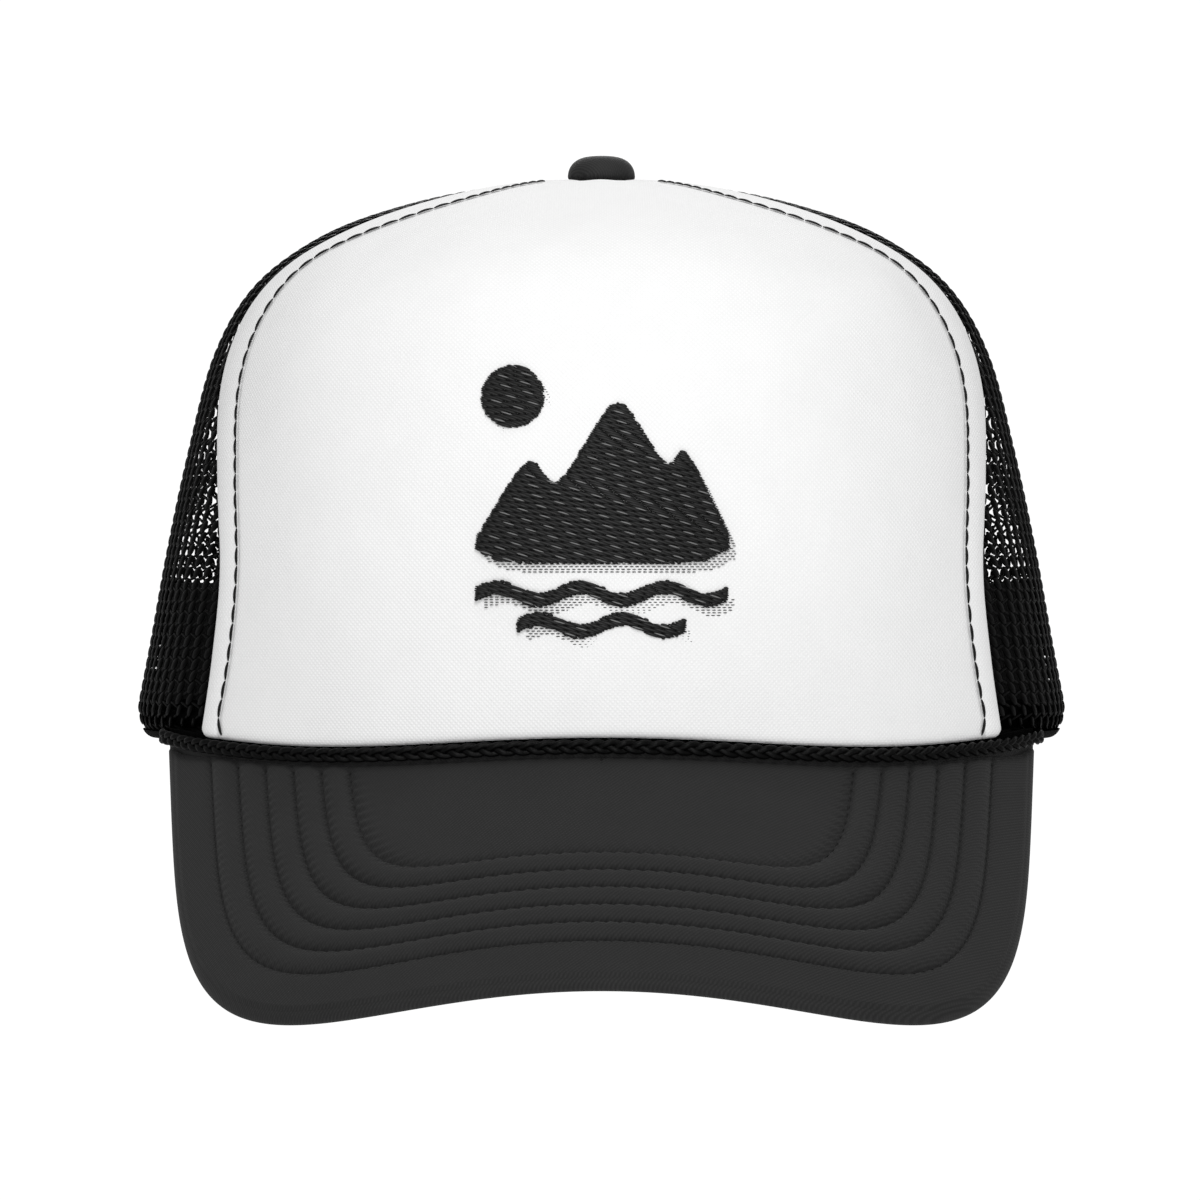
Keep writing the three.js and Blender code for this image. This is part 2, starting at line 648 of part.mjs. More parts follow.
addEmbroidery('embroidered_mountains', outlineOf([[-27, 36], [-14, 57], [-8.5, 50], [3, 69],
  [12.5, 54], [16, 58.5], [27, 36]]));
const sun = new THREE.Shape();
sun.absarc(-17, 68, 6, 0, 2 * Math.PI);
addEmbroidery('embroidered_sun', sun);

// A ribbon that rises and falls a whole number of times along its length.
function waveOutline(halfLength, height, waves, swing = 1.2, breadth = 2.6) {
  const steps = waves * 6;
  const line = [];
  for (let i = 0; i <= steps; i += 1) {
    const x = lerp(-halfLength, halfLength, i / steps);
    line.push([x, height + swing * Math.sin((2 * Math.PI * waves * i) / steps)]);
  }
  const under = line.map(([x, z]) => [x, z - breadth]).reverse();
  return outlineOf([...line, ...under]);
}
addEmbroidery('embroidered_wave_upper', waveOutline(24, 31.5, 3));
addEmbroidery('embroidered_wave_lower', waveOutline(16, 25.5, 2));

// ---------------------------------------------------------------- top button

// A round piece turned about the vertical, from [radius, height] points on a closed outline.
function turned(profile, segments = 16) {
  const outline = profile.map(([radius, height]) => new THREE.Vector2(radius, height));
  const lathe = new THREE.LatheGeometry(outline, segments);
  lathe.rotateX(Math.PI / 2);
  return closed(lathe);
}

// Half of a domed section, from the rim to the middle. It is squarer than a round dome.
const DOME_STEPS = 5;
const DOME_WIDTH_POWER = 0.75;
const DOME_HEIGHT_POWER = 0.9;
function dome(radius, base, top) {
  const points = [];
  for (let i = 0; i < DOME_STEPS; i += 1) {
    const turn = (i / DOME_STEPS) * (Math.PI / 2);
    points.push([radius * Math.cos(turn) ** DOME_WIDTH_POWER,
      base + (top - base) * Math.sin(turn) ** DOME_HEIGHT_POWER]);
  }
  points.push([0, top]);
  return points;
}

const shellTop = BUTTON_TOP - COVER_THICKNESS - GAP;
const shellRadius = BUTTON_RADIUS - COVER_THICKNESS - GAP;
const coverFold = BUTTON_BASE + COVER_THICKNESS;
addPiece('button_cover', turned([
  [COVER_MOUTH_RADIUS, BUTTON_BASE],
  [BUTTON_RADIUS - COVER_THICKNESS, BUTTON_BASE],
  ...dome(BUTTON_RADIUS, BUTTON_RIM, BUTTON_TOP),
  ...dome(BUTTON_RADIUS - COVER_THICKNESS, BUTTON_RIM, BUTTON_TOP - COVER_THICKNESS).reverse(),
  [BUTTON_RADIUS - 2 * COVER_THICKNESS, coverFold],
  [COVER_MOUTH_RADIUS, coverFold],
  [COVER_MOUTH_RADIUS, BUTTON_BASE],
]), VISOR_CHARCOAL());
addPiece('button_shell', turned([
  ...dome(shellRadius, BUTTON_RIM, shellTop),
  ...dome(shellRadius - SHELL_THICKNESS, BUTTON_RIM, shellTop - SHELL_THICKNESS).reverse(),
  [shellRadius, BUTTON_RIM],
]), BARE_METAL());
const shankTop = shellTop - SHELL_THICKNESS - GAP;
const shankShoulder = shankTop - SHANK_HEAD_THICKNESS;
addPiece('button_shank', turned([
  [0, SHANK_END],
  [SHANK_RADIUS, SHANK_END],
  [SHANK_RADIUS, shankShoulder],
  [SHANK_HEAD_RADIUS, shankShoulder],
  [SHANK_HEAD_RADIUS, shankTop],
  [0, shankTop],
], 12), BARE_METAL());
const plateBore = SHANK_RADIUS + GAP;
addPiece('button_back_plate', turned([
  [plateBore, BACK_PLATE.bottom],
  [BACK_PLATE.radius, BACK_PLATE.bottom],
  [BACK_PLATE.radius, BACK_PLATE.rim],
  [plateBore, BACK_PLATE.top],
  [plateBore, BACK_PLATE.bottom],
]), BARE_METAL());

// ---------------------------------------------------------------- snap closure

// A strap or tab over the rear opening, between two turns from the rear middle. A side of
// -1 mirrors it.
function strapBand(side, fromTurn, toTurn, depth) {
  const turns = stations(fromTurn, toTurn, SNAP_PITCH / 2);
  return bentSlab(turns.length - 1, 1, (u, v, w) => {
    const bearing = 180 - side * pick(turns, u);
    const height = lerp(STRAP_LOW, STRAP_HIGH, v);
    return crownOffset(bearing, shareAtHeight(bearing, height), lerp(-depth - STRAP_THICKNESS,
      -depth, w));
  });
}

// A short round pin through a strap at a turn from the rear middle, along the crown's
// outward direction there.
function snapPin(side, turn, radius, from, to, segments = 12) {
  const bearing = 180 - side * turn;
  const share = shareAtHeight(bearing, (STRAP_LOW + STRAP_HIGH) / 2);
  const pin = new THREE.CylinderGeometry(radius, radius, to - from, segments);
  const place = crownOffset(bearing, share, (from + to) / 2);
  const outward = crownNormal(bearing, share);
  pin.applyQuaternion(new THREE.Quaternion()
    .setFromUnitVectors(new THREE.Vector3(0, 1, 0), outward));
  pin.translate(place.x, place.y, place.z);
  return pin;
}

const holeDepth = STRAP_DEPTH - STRAP_LAP - STRAP_THICKNESS;
const snapTurns = Array.from({ length: SNAP_COUNT }, (_, i) => FIRST_SNAP - i * SNAP_PITCH);
const STUD_ROOT = -STRAP_DEPTH - 0.4;
const HOLE_MARGIN = 1;

let studStrap = strapBand(-1, STRAP_TIP, STRAP_ROOT, STRAP_DEPTH);
for (const turn of snapTurns) {
  studStrap = joined(studStrap,
    snapPin(-1, turn, STUD_RADIUS, STUD_ROOT, -STRAP_DEPTH + STUD_HEIGHT));
}
addPiece('closure_strap_studs', studStrap, STRAP_BLACK());

let holeStrap = strapBand(1, STRAP_TIP, STRAP_ROOT, holeDepth);
for (const turn of snapTurns) {
  holeStrap = cut(holeStrap, snapPin(1, turn, HOLE_RADIUS,
    -holeDepth - STRAP_THICKNESS - HOLE_MARGIN, -holeDepth + HOLE_MARGIN));
}
addPiece('closure_strap_holes', holeStrap, STRAP_BLACK());

for (const [side, word] of [[-1, 'left'], [1, 'right']]) {
  const root = STRAP_ROOT + ANCHOR_GAP;
  addPiece(`closure_anchor_${word}`,
    strapBand(side, root, root + ANCHOR_LENGTH, STRAP_DEPTH), STRAP_BLACK());
}

export default cap;
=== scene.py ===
"""Trucker cap: knitted mesh, foam front, quilted visor, braid, button and snap closure.

Lengths in this file are millimetres until a piece is made, and metres after that. The
crown and visor formulas are the same as the frame's, so every piece lies on its solid.
"""
import math

import bmesh
import bpy
import numpy as np
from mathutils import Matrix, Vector


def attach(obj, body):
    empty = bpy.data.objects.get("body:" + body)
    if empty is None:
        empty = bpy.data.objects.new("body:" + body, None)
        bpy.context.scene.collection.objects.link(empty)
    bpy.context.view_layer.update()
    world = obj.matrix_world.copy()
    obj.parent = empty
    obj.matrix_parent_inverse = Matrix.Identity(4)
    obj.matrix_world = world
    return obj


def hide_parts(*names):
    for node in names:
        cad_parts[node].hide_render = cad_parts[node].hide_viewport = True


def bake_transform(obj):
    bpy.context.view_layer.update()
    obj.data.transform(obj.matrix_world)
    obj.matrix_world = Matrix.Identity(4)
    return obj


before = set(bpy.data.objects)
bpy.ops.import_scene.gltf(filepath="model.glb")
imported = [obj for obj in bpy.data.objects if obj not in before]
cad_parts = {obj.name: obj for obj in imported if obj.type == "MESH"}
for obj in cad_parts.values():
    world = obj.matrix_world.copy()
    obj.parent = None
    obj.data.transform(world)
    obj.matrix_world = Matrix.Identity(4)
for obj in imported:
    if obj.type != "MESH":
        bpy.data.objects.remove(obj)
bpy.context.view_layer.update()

MM = 0.001
rng = np.random.default_rng(7)

# ------------------------------------------------------------------ driving dimensions

FRONT_PROFILE = [(101, 0), (101.8, 20), (101.6, 40), (99.8, 60), (95.2, 79),
                 (87.5, 93), (74.5, 103.2), (55.5, 110), (30, 114.6), (0, 116.7)]
SIDE_PROFILE = [(98.5, 0), (94.4, 20), (90.5, 40), (85.9, 60), (80.3, 79.5),
                (72.3, 93), (60.1, 102.6), (46, 109), (26.5, 114.3), (0, 116.7)]
REAR_PROFILE = [(100, 0), (97, 20), (93.5, 40), (88.5, 59), (80.5, 77),
                (71, 90), (58, 101), (42, 108.8), (23, 114.2), (0, 116.7)]
FOAM_EDGE_BEARINGS = [54, 52.7, 52.7, 56.7, 61.8, 62, 57.5, 49, 43.5, 40, 38]
TOPSTITCH_BEARINGS = [50.5, 48.4, 48.1, 50.7, 53.9, 53, 48.5, 36, 28, 27, 30]
SIDE_SEAM = 115.0
PANEL_TOP = 0.972
FOAM_THICKNESS = 2.6
MESH_THICKNESS = 1.0

VISOR_SLOPE = math.radians(35.9)
VISOR_ROOT_Y, VISOR_ROOT_Z = -101.4, -3.4
VISOR_BEND_RADIUS = 122.7
VISOR_OUTLINE = dict(half_width=87.4, back=-48.0, front=62.8, taper=0.091, power=4.7)
VISOR_THICKNESS = 3.0
ROW_COUNT = 6
STITCH_PITCH = 2.5
BRAID_END = 65.0
BRAID_END_RISE = 0.7
ROOT_TO_HEM = 3.6
ROOT_PEAK = -1.0
ROOT_DIP = 1.05
ROOT_DIP_BEARING = 34.0
HEM_SIDE_RISE = 1.3

OPENING_HALF_WIDTH = 44.6
OPENING_STRAIGHT = 10.0
OPENING_HEIGHT = 48.0
SWEATBAND_END = 152.0
SWEATBAND_TOP = 33.0

# ------------------------------------------------------------------ crown and visor shape


def along_profile(profile, share):
    """A smooth curve through a profile's points, as radius and height."""
    points = np.array(profile, float)
    first, last = 2 * points[0] - points[1], points[-2] * (-1, 1)
    points = np.vstack([first, points, last])
    spans = len(profile) - 1
    place = np.clip(np.asarray(share, float), 0, 1) * spans
    step = np.minimum(place.astype(int), spans - 1)
    f = (place - step)[..., None]
    a, b, c, d = (points[step + k] for k in range(4))
    return b + 0.5 * f * (c - a + f * (2 * a - 5 * b + 4 * c - d + f * (3 * (b - c) + d - a)))


def crown_surface(bearing, share):
    """The crown's outer face: bearing in degrees from the front, share up its profile."""
    bearing, share = np.broadcast_arrays(np.radians(bearing), share)
    c, c2 = np.cos(bearing), np.cos(2 * bearing)
    mixed = ((0.25 + 0.5 * c + 0.25 * c2)[..., None] * along_profile(FRONT_PROFILE, share)
             + (0.5 - 0.5 * c2)[..., None] * along_profile(SIDE_PROFILE, share)
             + (0.25 - 0.5 * c + 0.25 * c2)[..., None] * along_profile(REAR_PROFILE, share))
    radius, height = mixed[..., 0], mixed[..., 1]
    return np.stack([radius * np.sin(bearing), -radius * c, height], -1)


def unit(vectors):
    return vectors / np.maximum(np.linalg.norm(vectors, axis=-1, keepdims=True), 1e-9)


def crown_normal(bearing, share):
    across = crown_surface(bearing + 0.1, share) - crown_surface(bearing - 0.1, share)
    up = (crown_surface(bearing, np.minimum(share + 1e-3, 1))
          - crown_surface(bearing, np.maximum(share - 1e-3, 0)))
    return unit(np.cross(across, up))


def crown(bearing, share, offset=0.0):
    """Points above (or below, if negative) the crown's outer surface."""
    bearing, share, offset = np.broadcast_arrays(
        np.asarray(bearing, float), np.asarray(share, float), np.asarray(offset, float))
    return crown_surface(bearing, share) + crown_normal(bearing, share) * offset[..., None]


def share_at_height(bearing, height):
    """The share of the crown's profile at a height, found by halving."""
    bearing, height = np.broadcast_arrays(np.asarray(bearing, float), height)
    low, high = np.zeros(bearing.shape), np.ones(bearing.shape)
    for _ in range(26):
        middle = (low + high) / 2
        below = crown_surface(bearing, middle)[..., 2] < height
        low, high = np.where(below, middle, low), np.where(below, high, middle)
    return (low + high) / 2


def bearing_at(table, share):
    """The bearing of a line up the crown, from its bearings at even shares."""
    pairs = [(bearing, i) for i, bearing in enumerate(table)] + [(table[-1], len(table))]
    return along_profile(pairs, np.asarray(share) * (len(table) - 1) / len(table))[..., 0]


def foam_edge(share):
    return bearing_at(FOAM_EDGE_BEARINGS, share)


def smooth(value, low, high):
    f = np.clip((np.asarray(value, float) - low) / (high - low), 0, 1)
    return f * f * (3 - 2 * f)


def visor_root_height(bearing):
    """The height of the line where the visor meets the crown, which dips to each side."""
    turn = math.pi * np.minimum(np.abs(bearing) / ROOT_DIP_BEARING, 2)
    return ROOT_PEAK - ROOT_DIP * (1 - np.cos(turn))


def hem_height(bearing):
    """The crown's lower edge: just above the visor, and level behind it."""
    return (visor_root_height(bearing) + ROOT_TO_HEM) * (1 - smooth(np.abs(bearing), 66, 80))


def hem_fold_height(bearing):
    """The folded hem's lower edge, which comes down sooner to hide the braid's ends."""
    turn = np.abs(bearing)
    level = HEM_SIDE_RISE * smooth(turn, 60, 68) * (1 - smooth(turn, 95, 115))
    return hem_height(bearing) * (1 - smooth(turn, 59, 66)) + level


def degrees_for(length, bearing, share):
    """The turn about the middle that covers a length on the crown."""
    spot = crown_surface(bearing, share)
    return np.degrees(length / np.hypot(spot[..., 0], spot[..., 1]))


COS_SLOPE, SIN_SLOPE = math.cos(VISOR_SLOPE), math.sin(VISOR_SLOPE)


def visor_to_cap(across, forward, lift):
    """A point from the visor's own sloped axes."""
    across, forward, lift = np.broadcast_arrays(across, forward, lift)
    return np.stack([across, VISOR_ROOT_Y - forward * COS_SLOPE - lift * SIN_SLOPE,
                     VISOR_ROOT_Z - forward * SIN_SLOPE + lift * COS_SLOPE], -1)


def visor_sag(across):
    return -np.square(across) / (2 * VISOR_BEND_RADIUS)


corner = visor_to_cap(VISOR_OUTLINE["half_width"], VISOR_OUTLINE["back"],
                      visor_sag(VISOR_OUTLINE["half_width"]))
CORNER_BEARING = math.degrees(math.atan2(corner[0], -corner[1]))
ROOT_INSET = math.hypot(corner[0], corner[1]) - np.hypot(
    *crown_surface(CORNER_BEARING, 0.0)[:2])


def visor_root(bearing):
    """The visor's rear line at a bearing: across, forward and its lift above the board."""
    hem = crown_surface(bearing, 0.0)
    scale = 1 + ROOT_INSET / np.hypot(hem[..., 0], hem[..., 1])
    x, y = hem[..., 0] * scale, hem[..., 1] * scale
    plain = (VISOR_ROOT_Z + visor_sag(x) / COS_SLOPE
             + math.tan(VISOR_SLOPE) * (y - VISOR_ROOT_Y))
    lift = ((visor_root_height(bearing) - plain) * COS_SLOPE
            * (1 - smooth(np.abs(bearing), 50, CORNER_BEARING)))
    forward = (VISOR_ROOT_Y - y - (visor_sag(x) + lift) * SIN_SLOPE) / COS_SLOPE
    return x, forward, lift


ROOT_BEARINGS = np.linspace(0, CORNER_BEARING, 200)
ROOT_TABLE = visor_root(ROOT_BEARINGS)
LIFT_LENGTH = 25.0


def visor_face(across, forward):
    """Height of the visor's upper face above its flat board."""
    root_forward = np.interp(np.abs(across), ROOT_TABLE[0], ROOT_TABLE[1])
    root_lift = np.interp(np.abs(across), ROOT_TABLE[0], ROOT_TABLE[2])
    nearness = np.clip(1 - (forward - root_forward) / LIFT_LENGTH, 0, 1)
    return visor_sag(across) + root_lift * nearness ** 2


def row_outline(row):
    return dict(half_width=78.9 - 5.35 * row, front=51.1 - 5.1 * row, taper=0.089,
                power=5.5 + 0.26 * row, back=VISOR_OUTLINE["back"])


def outline_points(outline, inset=0.0, count=400):
    """A rounded visor outline from its left rear corner round the front, by length."""
    half_width = outline["half_width"] - inset
    front, power = outline["front"] - inset, outline["power"]
    turn = np.linspace(0, math.pi / 2, 4000)
    forward = outline["back"] + (front - outline["back"]) * np.cos(turn) ** (2 / power)
    width = half_width - outline["taper"] * (forward - outline["back"])
    half = np.stack([width * np.sin(turn) ** (2 / power), forward], -1)
    whole = np.vstack([half[::-1] * (-1, 1), half[1:]])
    return resample(whole, count)


def running_length(points):
    """The length along a line of points, at each point."""
    steps = np.linalg.norm(np.diff(points, axis=0), axis=1)
    return np.concatenate([[0], np.cumsum(steps)])


def ring_lengths(rings):
    """The length along each ring of a stack, at each point."""
    steps = np.linalg.norm(np.diff(rings, axis=1), axis=2)
    return np.pad(np.cumsum(steps, axis=1), ((0, 0), (1, 0)))


def resample(points, count):
    """Points at even spacing along a line of points."""
    length = running_length(points)
    keep = np.concatenate([[True], np.diff(length) > 0])
    wanted = np.linspace(0, length[-1], count)
    return np.stack([np.interp(wanted, length[keep], points[keep][:, k])
                     for k in range(points.shape[1])], -1)


# ------------------------------------------------------------------ mesh building


def make_piece(name, verts, faces, material, slot, body="crown", replaces=(), uv=None):
    """A mesh object from millimetre points; uv is in metres, one pair per point."""
    mesh = bpy.data.meshes.new(name)
    mesh.from_pydata((np.asarray(verts, float) * MM).tolist(), [], faces)
    mesh.validate()
    mesh.polygons.foreach_set("use_smooth", [True] * len(mesh.polygons))
    mesh.materials.append(material)
    piece = bpy.data.objects.new(name, mesh)
    bpy.context.collection.objects.link(piece)
    if uv is not None:
        add_uv(piece, "cloth", uv)
    if body:
        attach(piece, body)
    if replaces:
        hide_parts(*replaces)
    return piece


def add_uv(piece, name, uv):
    layer = piece.data.uv_layers.new(name=name)
    corners = np.empty(len(piece.data.loops), int)
    piece.data.loops.foreach_get("vertex_index", corners)
    layer.data.foreach_set("uv", np.asarray(uv, np.float32)[corners].ravel())


def grid_faces(rows, columns, start=0, flip=False, wrap=False):
    faces = []
    for i in range(rows - 1):
        for j in range(columns if wrap else columns - 1):
            k = (j + 1) % columns
            quad = (start + i * columns + j, start + i * columns + k,
                    start + (i + 1) * columns + k, start + (i + 1) * columns + j)
            faces.append(quad[::-1] if flip else quad)
    return faces


def shell(outer, inner, uv=None):
    """A closed skin from an outer and an inner grid of points with the same shape."""
    rows, columns = outer.shape[:2]
    count = rows * columns
    verts = np.vstack([outer.reshape(-1, 3), inner.reshape(-1, 3)])
    faces = grid_faces(rows, columns) + grid_faces(rows, columns, count, flip=True)
    index = np.arange(count).reshape(rows, columns)
    rim = np.concatenate([index[0], index[1:, -1], index[-1, -2::-1], index[-2:0:-1, 0]])
    for a, b in zip(rim, np.roll(rim, -1)):
        faces.append((int(b), int(a), int(a) + count, int(b) + count))
    both = None if uv is None else np.vstack([uv.reshape(-1, 2)] * 2)
    return verts, faces, both


def facing_out(verts, faces):
    """Turns all faces over if the body's volume comes out negative."""
    points = np.asarray(verts)
    total = 0.0
    for face in faces:
        a = points[face[0]]
        for k in range(1, len(face) - 1):
            total += a @ np.cross(points[face[k]], points[face[k + 1]])
    return faces if total > 0 else [tuple(face[::-1]) for face in faces]


def tube(rings):
    """A closed tube through rings of points, capped at both ends."""
    count, sides = rings.shape[:2]
    faces = grid_faces(count, sides, wrap=True)
    faces.append(tuple(range(sides))[::-1])
    faces.append(tuple((count - 1) * sides + k for k in range(sides)))
    return rings.reshape(-1, 3), faces


def scatter(template, faces, origins, frames):
    """Copies of a template at origins; frames holds three axes per copy."""
    template = np.asarray(template, float)
    verts = origins[:, None, :] + np.einsum("vk,nkc->nvc", template, frames)
    size = len(template)
    base = np.arange(len(origins)) * size
    copied = [tuple(int(b) + k for k in face) for b in base for face in faces]
    return verts.reshape(-1, 3), copied


def merged(parts):
    verts, faces, start = [], [], 0
    for part_verts, part_faces in parts:
        verts.append(part_verts)
        faces += [tuple(k + start for k in face) for face in part_faces]
        start += len(part_verts)
    return np.vstack(verts), faces


def make_sheet(name, outer, inner, uv, material, slot, **options):
    """A closed piece from its outer and inner grids of points; uv has a pair per point."""
    verts, faces, both = shell(outer, inner, uv)
    return make_piece(name, verts, facing_out(verts, faces), material, slot, uv=both, **options)


def make_merged(name, parts, material, slot, **options):
    """One piece from many small closed ones."""
    verts, faces = merged(parts)
    return make_piece(name, verts, faces, material, slot, **options)


def closed_tube(rings):
    verts, faces = tube(rings)
    return verts, facing_out(verts, faces)


def spindle(length, radius, rings=7, sides=6, blunt=0.5, dip=0.0, flatten=1.0):
    """A thread stitch along its first axis; its ends dip along the third."""
    shares = np.linspace(0.02, 0.98, rings)
    rows = []
    for share in shares:
        size = radius * math.sin(math.pi * share) ** blunt
        turn = np.arange(sides) * 2 * math.pi / sides
        rows.append(np.stack([np.full(sides, (share - 0.5) * length),
                              size * np.cos(turn),
                              size * flatten * np.sin(turn)
                              - dip * (2 * share - 1) ** 2], -1))
    return closed_tube(np.array(rows))


def stitches(points, normals, pitch, length, radius, sink=0.0, dip=0.35, sides=6,
             flatten=1.0, blunt=0.7):
    """A row of stitches along a line of points, with the line's surface normals."""
    along = running_length(points)
    count = max(int(along[-1] / pitch), 1)
    middles = (np.arange(count) + 0.5) * along[-1] / count

    def at(values, where):
        return np.stack([np.interp(where, along, values[:, k]) for k in range(3)], -1)

    origin, normal = at(points, middles), unit(at(normals, middles))
    ahead = unit(at(points, middles + length / 2) - at(points, middles - length / 2))
    side = unit(np.cross(normal, ahead))
    normal = np.cross(ahead, side)
    template, faces = spindle(length, radius, dip=dip, sides=sides, blunt=blunt,
                              flatten=flatten)
    return scatter(template, faces, origin - normal * sink, np.stack([ahead, side, normal], 1))


PUCKER_REACH = 1.5
GLOSS_SPREAD = 0.16

# ------------------------------------------------------------------ finishes


def add_node(tree, kind, **values):
    made = tree.nodes.new(kind)
    for key, value in values.items():
        setattr(made, key, value)
    return made


def calc(tree, operation, *inputs):
    made = add_node(tree, "ShaderNodeMath", operation=operation)
    for socket, value in zip(made.inputs, inputs):
        if isinstance(value, (int, float)):
            socket.default_value = value
        else:
            tree.links.new(value, socket)
    return made.outputs[0]


def uv_lengths(tree, layer="cloth"):
    """The two lengths of a UV layer, in metres."""
    layer_node = add_node(tree, "ShaderNodeUVMap", uv_map=layer)
    split = add_node(tree, "ShaderNodeSeparateXYZ")
    tree.links.new(layer_node.outputs[0], split.inputs[0])
    return split.outputs[0], split.outputs[1]


def ripple(tree, length, pitch):
    """A wave from 0 to 1 along a length; pitch is in millimetres."""
    turn = calc(tree, "MULTIPLY", length, 2 * math.pi / (pitch * MM))
    return calc(tree, "MULTIPLY_ADD", calc(tree, "SINE", turn), 0.5, 0.5)


def dots(tree, pitch):
    """Crossing threads of a plain weave, each showing as a small dot."""
    u, v = uv_lengths(tree)
    diagonal = ripple(tree, calc(tree, "ADD", u, v), pitch)
    other = ripple(tree, calc(tree, "SUBTRACT", u, v), pitch)
    return calc(tree, "MULTIPLY", diagonal, other)


def twill(tree, pitch):
    """Slanted ridges, each broken into short floats."""
    u, v = uv_lengths(tree)
    ridge = ripple(tree, calc(tree, "ADD", u, v), pitch)
    floats = ripple(tree, calc(tree, "SUBTRACT", u, calc(tree, "MULTIPLY", v, 0.4)), 0.8 * pitch)
    return calc(tree, "MULTIPLY", ridge, calc(tree, "MULTIPLY_ADD", floats, 0.45, 0.55))


def herringbone(tree, pitch):
    """Slanted ridges that turn back on themselves along the tape's middle."""
    u, v = uv_lengths(tree)
    folded = calc(tree, "PINGPONG", calc(tree, "ADD", u, 1.0), 3 * pitch * MM)
    return ripple(tree, calc(tree, "ADD", folded, v), pitch)


def ribs(tree, pitch):
    """Fine ribs across a woven tape, with a little of its lengthwise thread."""
    u, v = uv_lengths(tree)
    cross = ripple(tree, u, pitch)
    thread = calc(tree, "MULTIPLY_ADD", ripple(tree, v, pitch), 0.3, 0.7)
    return calc(tree, "MULTIPLY", cross, thread)


def towelling(tree, pitch):
    """Small uneven loops."""
    place = add_node(tree, "ShaderNodeTexCoord")
    loops = add_node(tree, "ShaderNodeTexVoronoi", feature="SMOOTH_F1")
    loops.inputs["Scale"].default_value = 1 / (pitch * MM)
    tree.links.new(place.outputs["Object"], loops.inputs["Vector"])
    return calc(tree, "SUBTRACT", 1.0, loops.outputs["Distance"])


def grains(tree, pitch):
    """A fine moulded grain, or the twist of a thread."""
    place = add_node(tree, "ShaderNodeTexCoord")
    noise = add_node(tree, "ShaderNodeTexNoise")
    noise.inputs["Scale"].default_value = 1 / (pitch * MM)
    noise.inputs["Detail"].default_value = 3
    tree.links.new(place.outputs["Object"], noise.inputs["Vector"])
    return noise.outputs["Fac"]


def puckers(tree, pitch):
    """Small pulls beside each stitch of a row; the layer holds length along and distance."""
    along, aside = uv_lengths(tree, "seams")
    reach = calc(tree, "MULTIPLY", calc(tree, "ABSOLUTE", aside), -1 / (PUCKER_REACH * MM))
    fade = calc(tree, "EXPONENT", reach)
    return calc(tree, "MULTIPLY", fade, ripple(tree, along, pitch))


def finish(name, dark, light, roughness, pattern, pitch, relief, mottle_size=9.0,
           sheen=0.0, metallic=0.0, pull=0.0, coat=0.0, shine=0.3):
    """A procedural finish: a pattern and a broad mottling drive colour, gloss and relief."""
    material = bpy.data.materials.new(name)
    material.use_nodes = True
    tree = material.node_tree
    shader = tree.nodes["Principled BSDF"]
    shader.inputs["Metallic"].default_value = metallic
    shader.inputs["Sheen Weight"].default_value = sheen
    shader.inputs["Sheen Roughness"].default_value = 0.5
    shader.inputs["Coat Weight"].default_value = coat
    shader.inputs["Specular IOR Level"].default_value = shine
    height = pattern(tree, pitch)
    mottle = grains(tree, mottle_size)
    blend = calc(tree, "ADD", calc(tree, "MULTIPLY", height, 0.6),
                 calc(tree, "MULTIPLY", mottle, 0.4))
    mix = add_node(tree, "ShaderNodeMix", data_type="RGBA")
    tree.links.new(blend, mix.inputs["Factor"])
    mix.inputs["A"].default_value = (*dark, 1)
    mix.inputs["B"].default_value = (*light, 1)
    tree.links.new(mix.outputs["Result"], shader.inputs["Base Color"])
    gloss = calc(tree, "MULTIPLY_ADD", mottle, GLOSS_SPREAD, roughness - GLOSS_SPREAD / 2)
    tree.links.new(gloss, shader.inputs["Roughness"])
    if pull:
        height = calc(tree, "ADD", height, calc(tree, "MULTIPLY", puckers(tree, STITCH_PITCH), pull))
    bump = add_node(tree, "ShaderNodeBump")
    bump.inputs["Strength"].default_value = 1.0
    bump.inputs["Distance"].default_value = relief * MM
    tree.links.new(height, bump.inputs["Height"])
    tree.links.new(bump.outputs["Normal"], shader.inputs["Normal"])
    return material


def grey(level):
    """A neutral linear colour from a display level of 0 to 255."""
    share = level / 255
    linear = share / 12.92 if share <= 0.04045 else ((share + 0.055) / 1.055) ** 2.4
    return (linear, linear, linear)


FOAM_FACE = finish("foam_knit_face", grey(228), grey(243), 0.85, dots, 0.95, 0.05, sheen=0.1)
FOAM_BACK = finish("foam_back", grey(190), grey(226), 0.9, towelling, 0.7, 0.25)
NET_YARN = finish("net_yarn", grey(1), grey(6), 0.4, grains, 0.3, 0.06, shine=0.03)
TAPE = finish("seam_tape", grey(10), grey(26), 0.8, herringbone, 0.9, 0.1)
BINDING = finish("binding_tape", grey(1), grey(6), 0.62, ribs, 0.7, 0.06, shine=0.01)
SWEAT = finish("sweatband_towelling", grey(3), grey(12), 0.92, towelling, 0.6, 0.2, sheen=0.03,
               shine=0.1)
VISOR_CLOTH = finish("visor_twill", grey(26), grey(44), 0.75, twill, 0.85, 0.035, sheen=0.04,
                     shine=0.14, pull=0.7)
THREAD = finish("dark_thread", grey(8), grey(22), 0.5, grains, 0.25, 0.04, shine=0.15)
VISOR_THREAD = finish("visor_thread", grey(12), grey(28), 0.5, grains, 0.25, 0.04, shine=0.15)
BRAID_YARN = finish("braid_yarn", grey(1), grey(7), 0.34, grains, 0.2, 0.08, shine=0.09)
SATIN = finish("satin_thread", grey(18), grey(32), 0.45, grains, 0.35, 0.03, shine=0.2)
# Pale thread for painted highlights: its light grey stands in for the light that catches between the
# satin stitches.
PAINTED_HIGHLIGHT_THREAD = finish("painted_highlight_thread", grey(95), grey(125), 0.5, grains, 0.3, 0.03)
